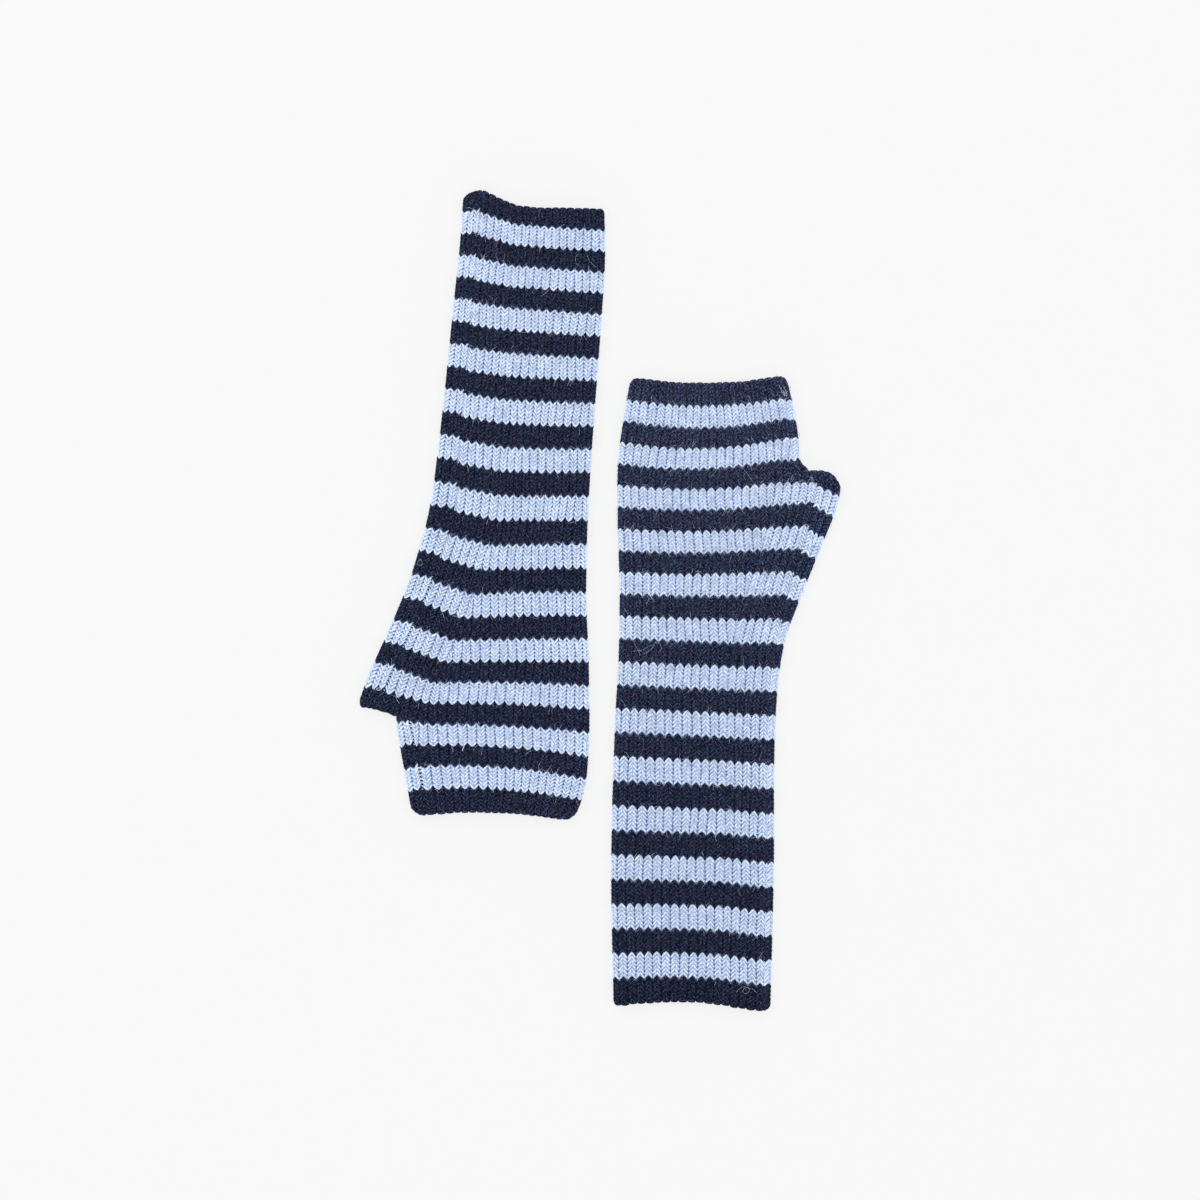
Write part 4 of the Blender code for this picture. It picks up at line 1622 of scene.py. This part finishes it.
NAVY_WOOL = WoolFinish(
    name="navy_wool",
    deep=(0.000, 0.000, 0.003),
    middle=(0.0003, 0.012, 0.049),
    bright=(0.103, 0.164, 0.305),
    flecks=((0.000, 0.024, 0.036), (0.000, 0.004, 0.038), (0.048, 0.009, 0.034), (0.002, 0.025, 0.078)),
    fleck_share=0.40,
    fibre=(0.14, 0.17, 0.28),
    fibre_share=0.45,
    sheen=0.01,
    sheen_tint=(0.45, 0.60, 0.92),
    specular=0.03,
    grain=0.0008,
    fleck_grain=0.0026,
    ramp_ends=(0.45, 0.62),
)
BLUE_WOOL = WoolFinish(
    name="blue_wool",
    deep=(0.29, 0.44, 0.86),
    middle=(0.62, 0.79, 1.0),
    bright=(0.97, 1.0, 1.0),
    flecks=((0.46, 0.66, 1.0), (0.60, 0.70, 1.0), (0.75, 0.80, 1.0), (0.49, 0.70, 1.0)),
    fleck_share=0.35,
    fibre=(0.90, 0.95, 1.0),
    fibre_share=0.5,
    sheen=0.05,
    sheen_tint=(0.9, 0.95, 1.0),
    specular=0.15,
    grain=0.0008,
    fleck_grain=0.0016,
    ramp_ends=(0.39, 0.62),
)
NAVY_FUZZ = WoolFinish(
    name="navy_fuzz",
    deep=(0.006, 0.010, 0.026),
    middle=(0.050, 0.054, 0.080),
    bright=(0.44, 0.44, 0.49),
    flecks=((0.004, 0.05, 0.07), (0.010, 0.016, 0.07), (0.08, 0.03, 0.07), (0.03, 0.06, 0.14)),
    fleck_share=0.3,
    fibre=(0.24, 0.27, 0.36),
    fibre_share=0.3,
    sheen=0.0,
    sheen_tint=(0.7, 0.8, 1.0),
    specular=0.1,
)
BLUE_FUZZ = WoolFinish(
    name="blue_fuzz",
    deep=(0.55, 0.65, 0.95),
    middle=(0.70, 0.80, 1.0),
    bright=(0.88, 0.92, 1.0),
    flecks=((0.62, 0.74, 0.92), (0.72, 0.76, 0.96), (0.80, 0.80, 0.94)),
    fleck_share=0.3,
    fibre=(0.95, 0.97, 1.0),
    fibre_share=0.5,
    sheen=0.2,
    sheen_tint=(1.0, 1.0, 1.0),
    specular=0.3,
)
# The ground's colours between the ribs are painted shade, darker than its colours on the crests.
GROUND = WallFinish(
    name="cloth_ground",
    navy=(0.007, 0.013, 0.034),
    navy_valley_shade=(0.003, 0.007, 0.022),
    blue=(0.60, 0.74, 1.0),
    blue_valley_shade=(0.14, 0.25, 0.62),
)

LEFT_STRAYS = (
    Stray(((12.2, 21.0), (13.8, 22.7), (13.6, 25.6), (11.8, 27.1))),
    Stray(((8.5, 21.5), (7.6, 23.9), (5.6, 26.4), (3.5, 27.6))),
    Stray(((87.0, 166.0), (89.0, 167.5), (88.0, 169.3), (86.5, 168.0), (88.0, 165.5))),
    Stray((
        (106.2, 227.9), (107.5, 228.3), (108.4, 227.8), (107.5, 227.2), (106.3, 227.3), (105.8, 228.0),
    ), 3.0),
    Stray(((66.8, 254.9), (67.3, 255.9), (67.6, 257.0)), 5.0),
)
RIGHT_STRAYS = (
    Stray(((8.9, 172.4), (9.8, 169.5), (11.5, 166.8), (11.9, 164.7))),
    Stray((
        (7.4, 167.0), (9.8, 167.3), (12.7, 167.6), (16.2, 169.5), (18.9, 170.1), (17.1, 168.1), (13.7, 165.6),
    )),
    Stray(((18.3, 171.5), (21.0, 170.7), (22.1, 168.5), (20.5, 166.3))),
    Stray(((59.9, 256.0), (61.3, 253.2), (63.2, 250.8), (65.1, 248.0))),
    Stray(((77.8, 293.6), (78.6, 291.4), (80.2, 288.4)), 0.9),
    Stray(((78.6, 292.4), (79.9, 290.4), (80.9, 288.4)), 1.2),
    Stray(((79.4, 291.2), (80.4, 289.6), (80.3, 288.0)), 1.6),
    Stray(((80.0, 293.0), (81.0, 291.0), (81.9, 288.6)), 1.1),
    Stray(((81.9, 290.6), (81.2, 289.2), (81.4, 287.8)), 1.5),
    Stray(((79.3, 289.8), (80.6, 290.0), (81.8, 289.4)), 1.2),
    Stray(((78.8, 290.6), (80.2, 288.9), (82.0, 288.3)), 1.2),
    Stray(((92.6, 249.8), (93.6, 249.4), (94.2, 248.2)), 2.0),
    Stray(((90.2, 227.4), (91.4, 227.0), (92.4, 225.9)), 1.8),
    Stray((
        (57.3, 4.8), (59.2, 7.0), (61.5, 7.9), (63.8, 6.6), (62.8, 4.8), (60.6, 5.2), (61.9, 7.5),
        (65.6, 6.6), (67.9, 4.3),
    )),
)


def main() -> None:
    """Builds the pair on its floor and reports each piece."""
    logging.basicConfig(level=logging.INFO, format="%(message)s")
    studio = Studio()
    studio.make_floor()
    studio.make_light()
    studio.make_camera()
    wools = {Yarn.NAVY: NAVY_WOOL.material(), Yarn.BLUE: BLUE_WOOL.material()}
    fuzz_wools = {Yarn.NAVY: NAVY_FUZZ.material(), Yarn.BLUE: BLUE_FUZZ.material()}
    ground = GROUND.material()
    for lay, strays in ((LEFT, LEFT_STRAYS), (RIGHT, RIGHT_STRAYS)):
        Warmer(lay, wools, fuzz_wools, ground, strays).build()


if __name__ == "__main__":
    main()
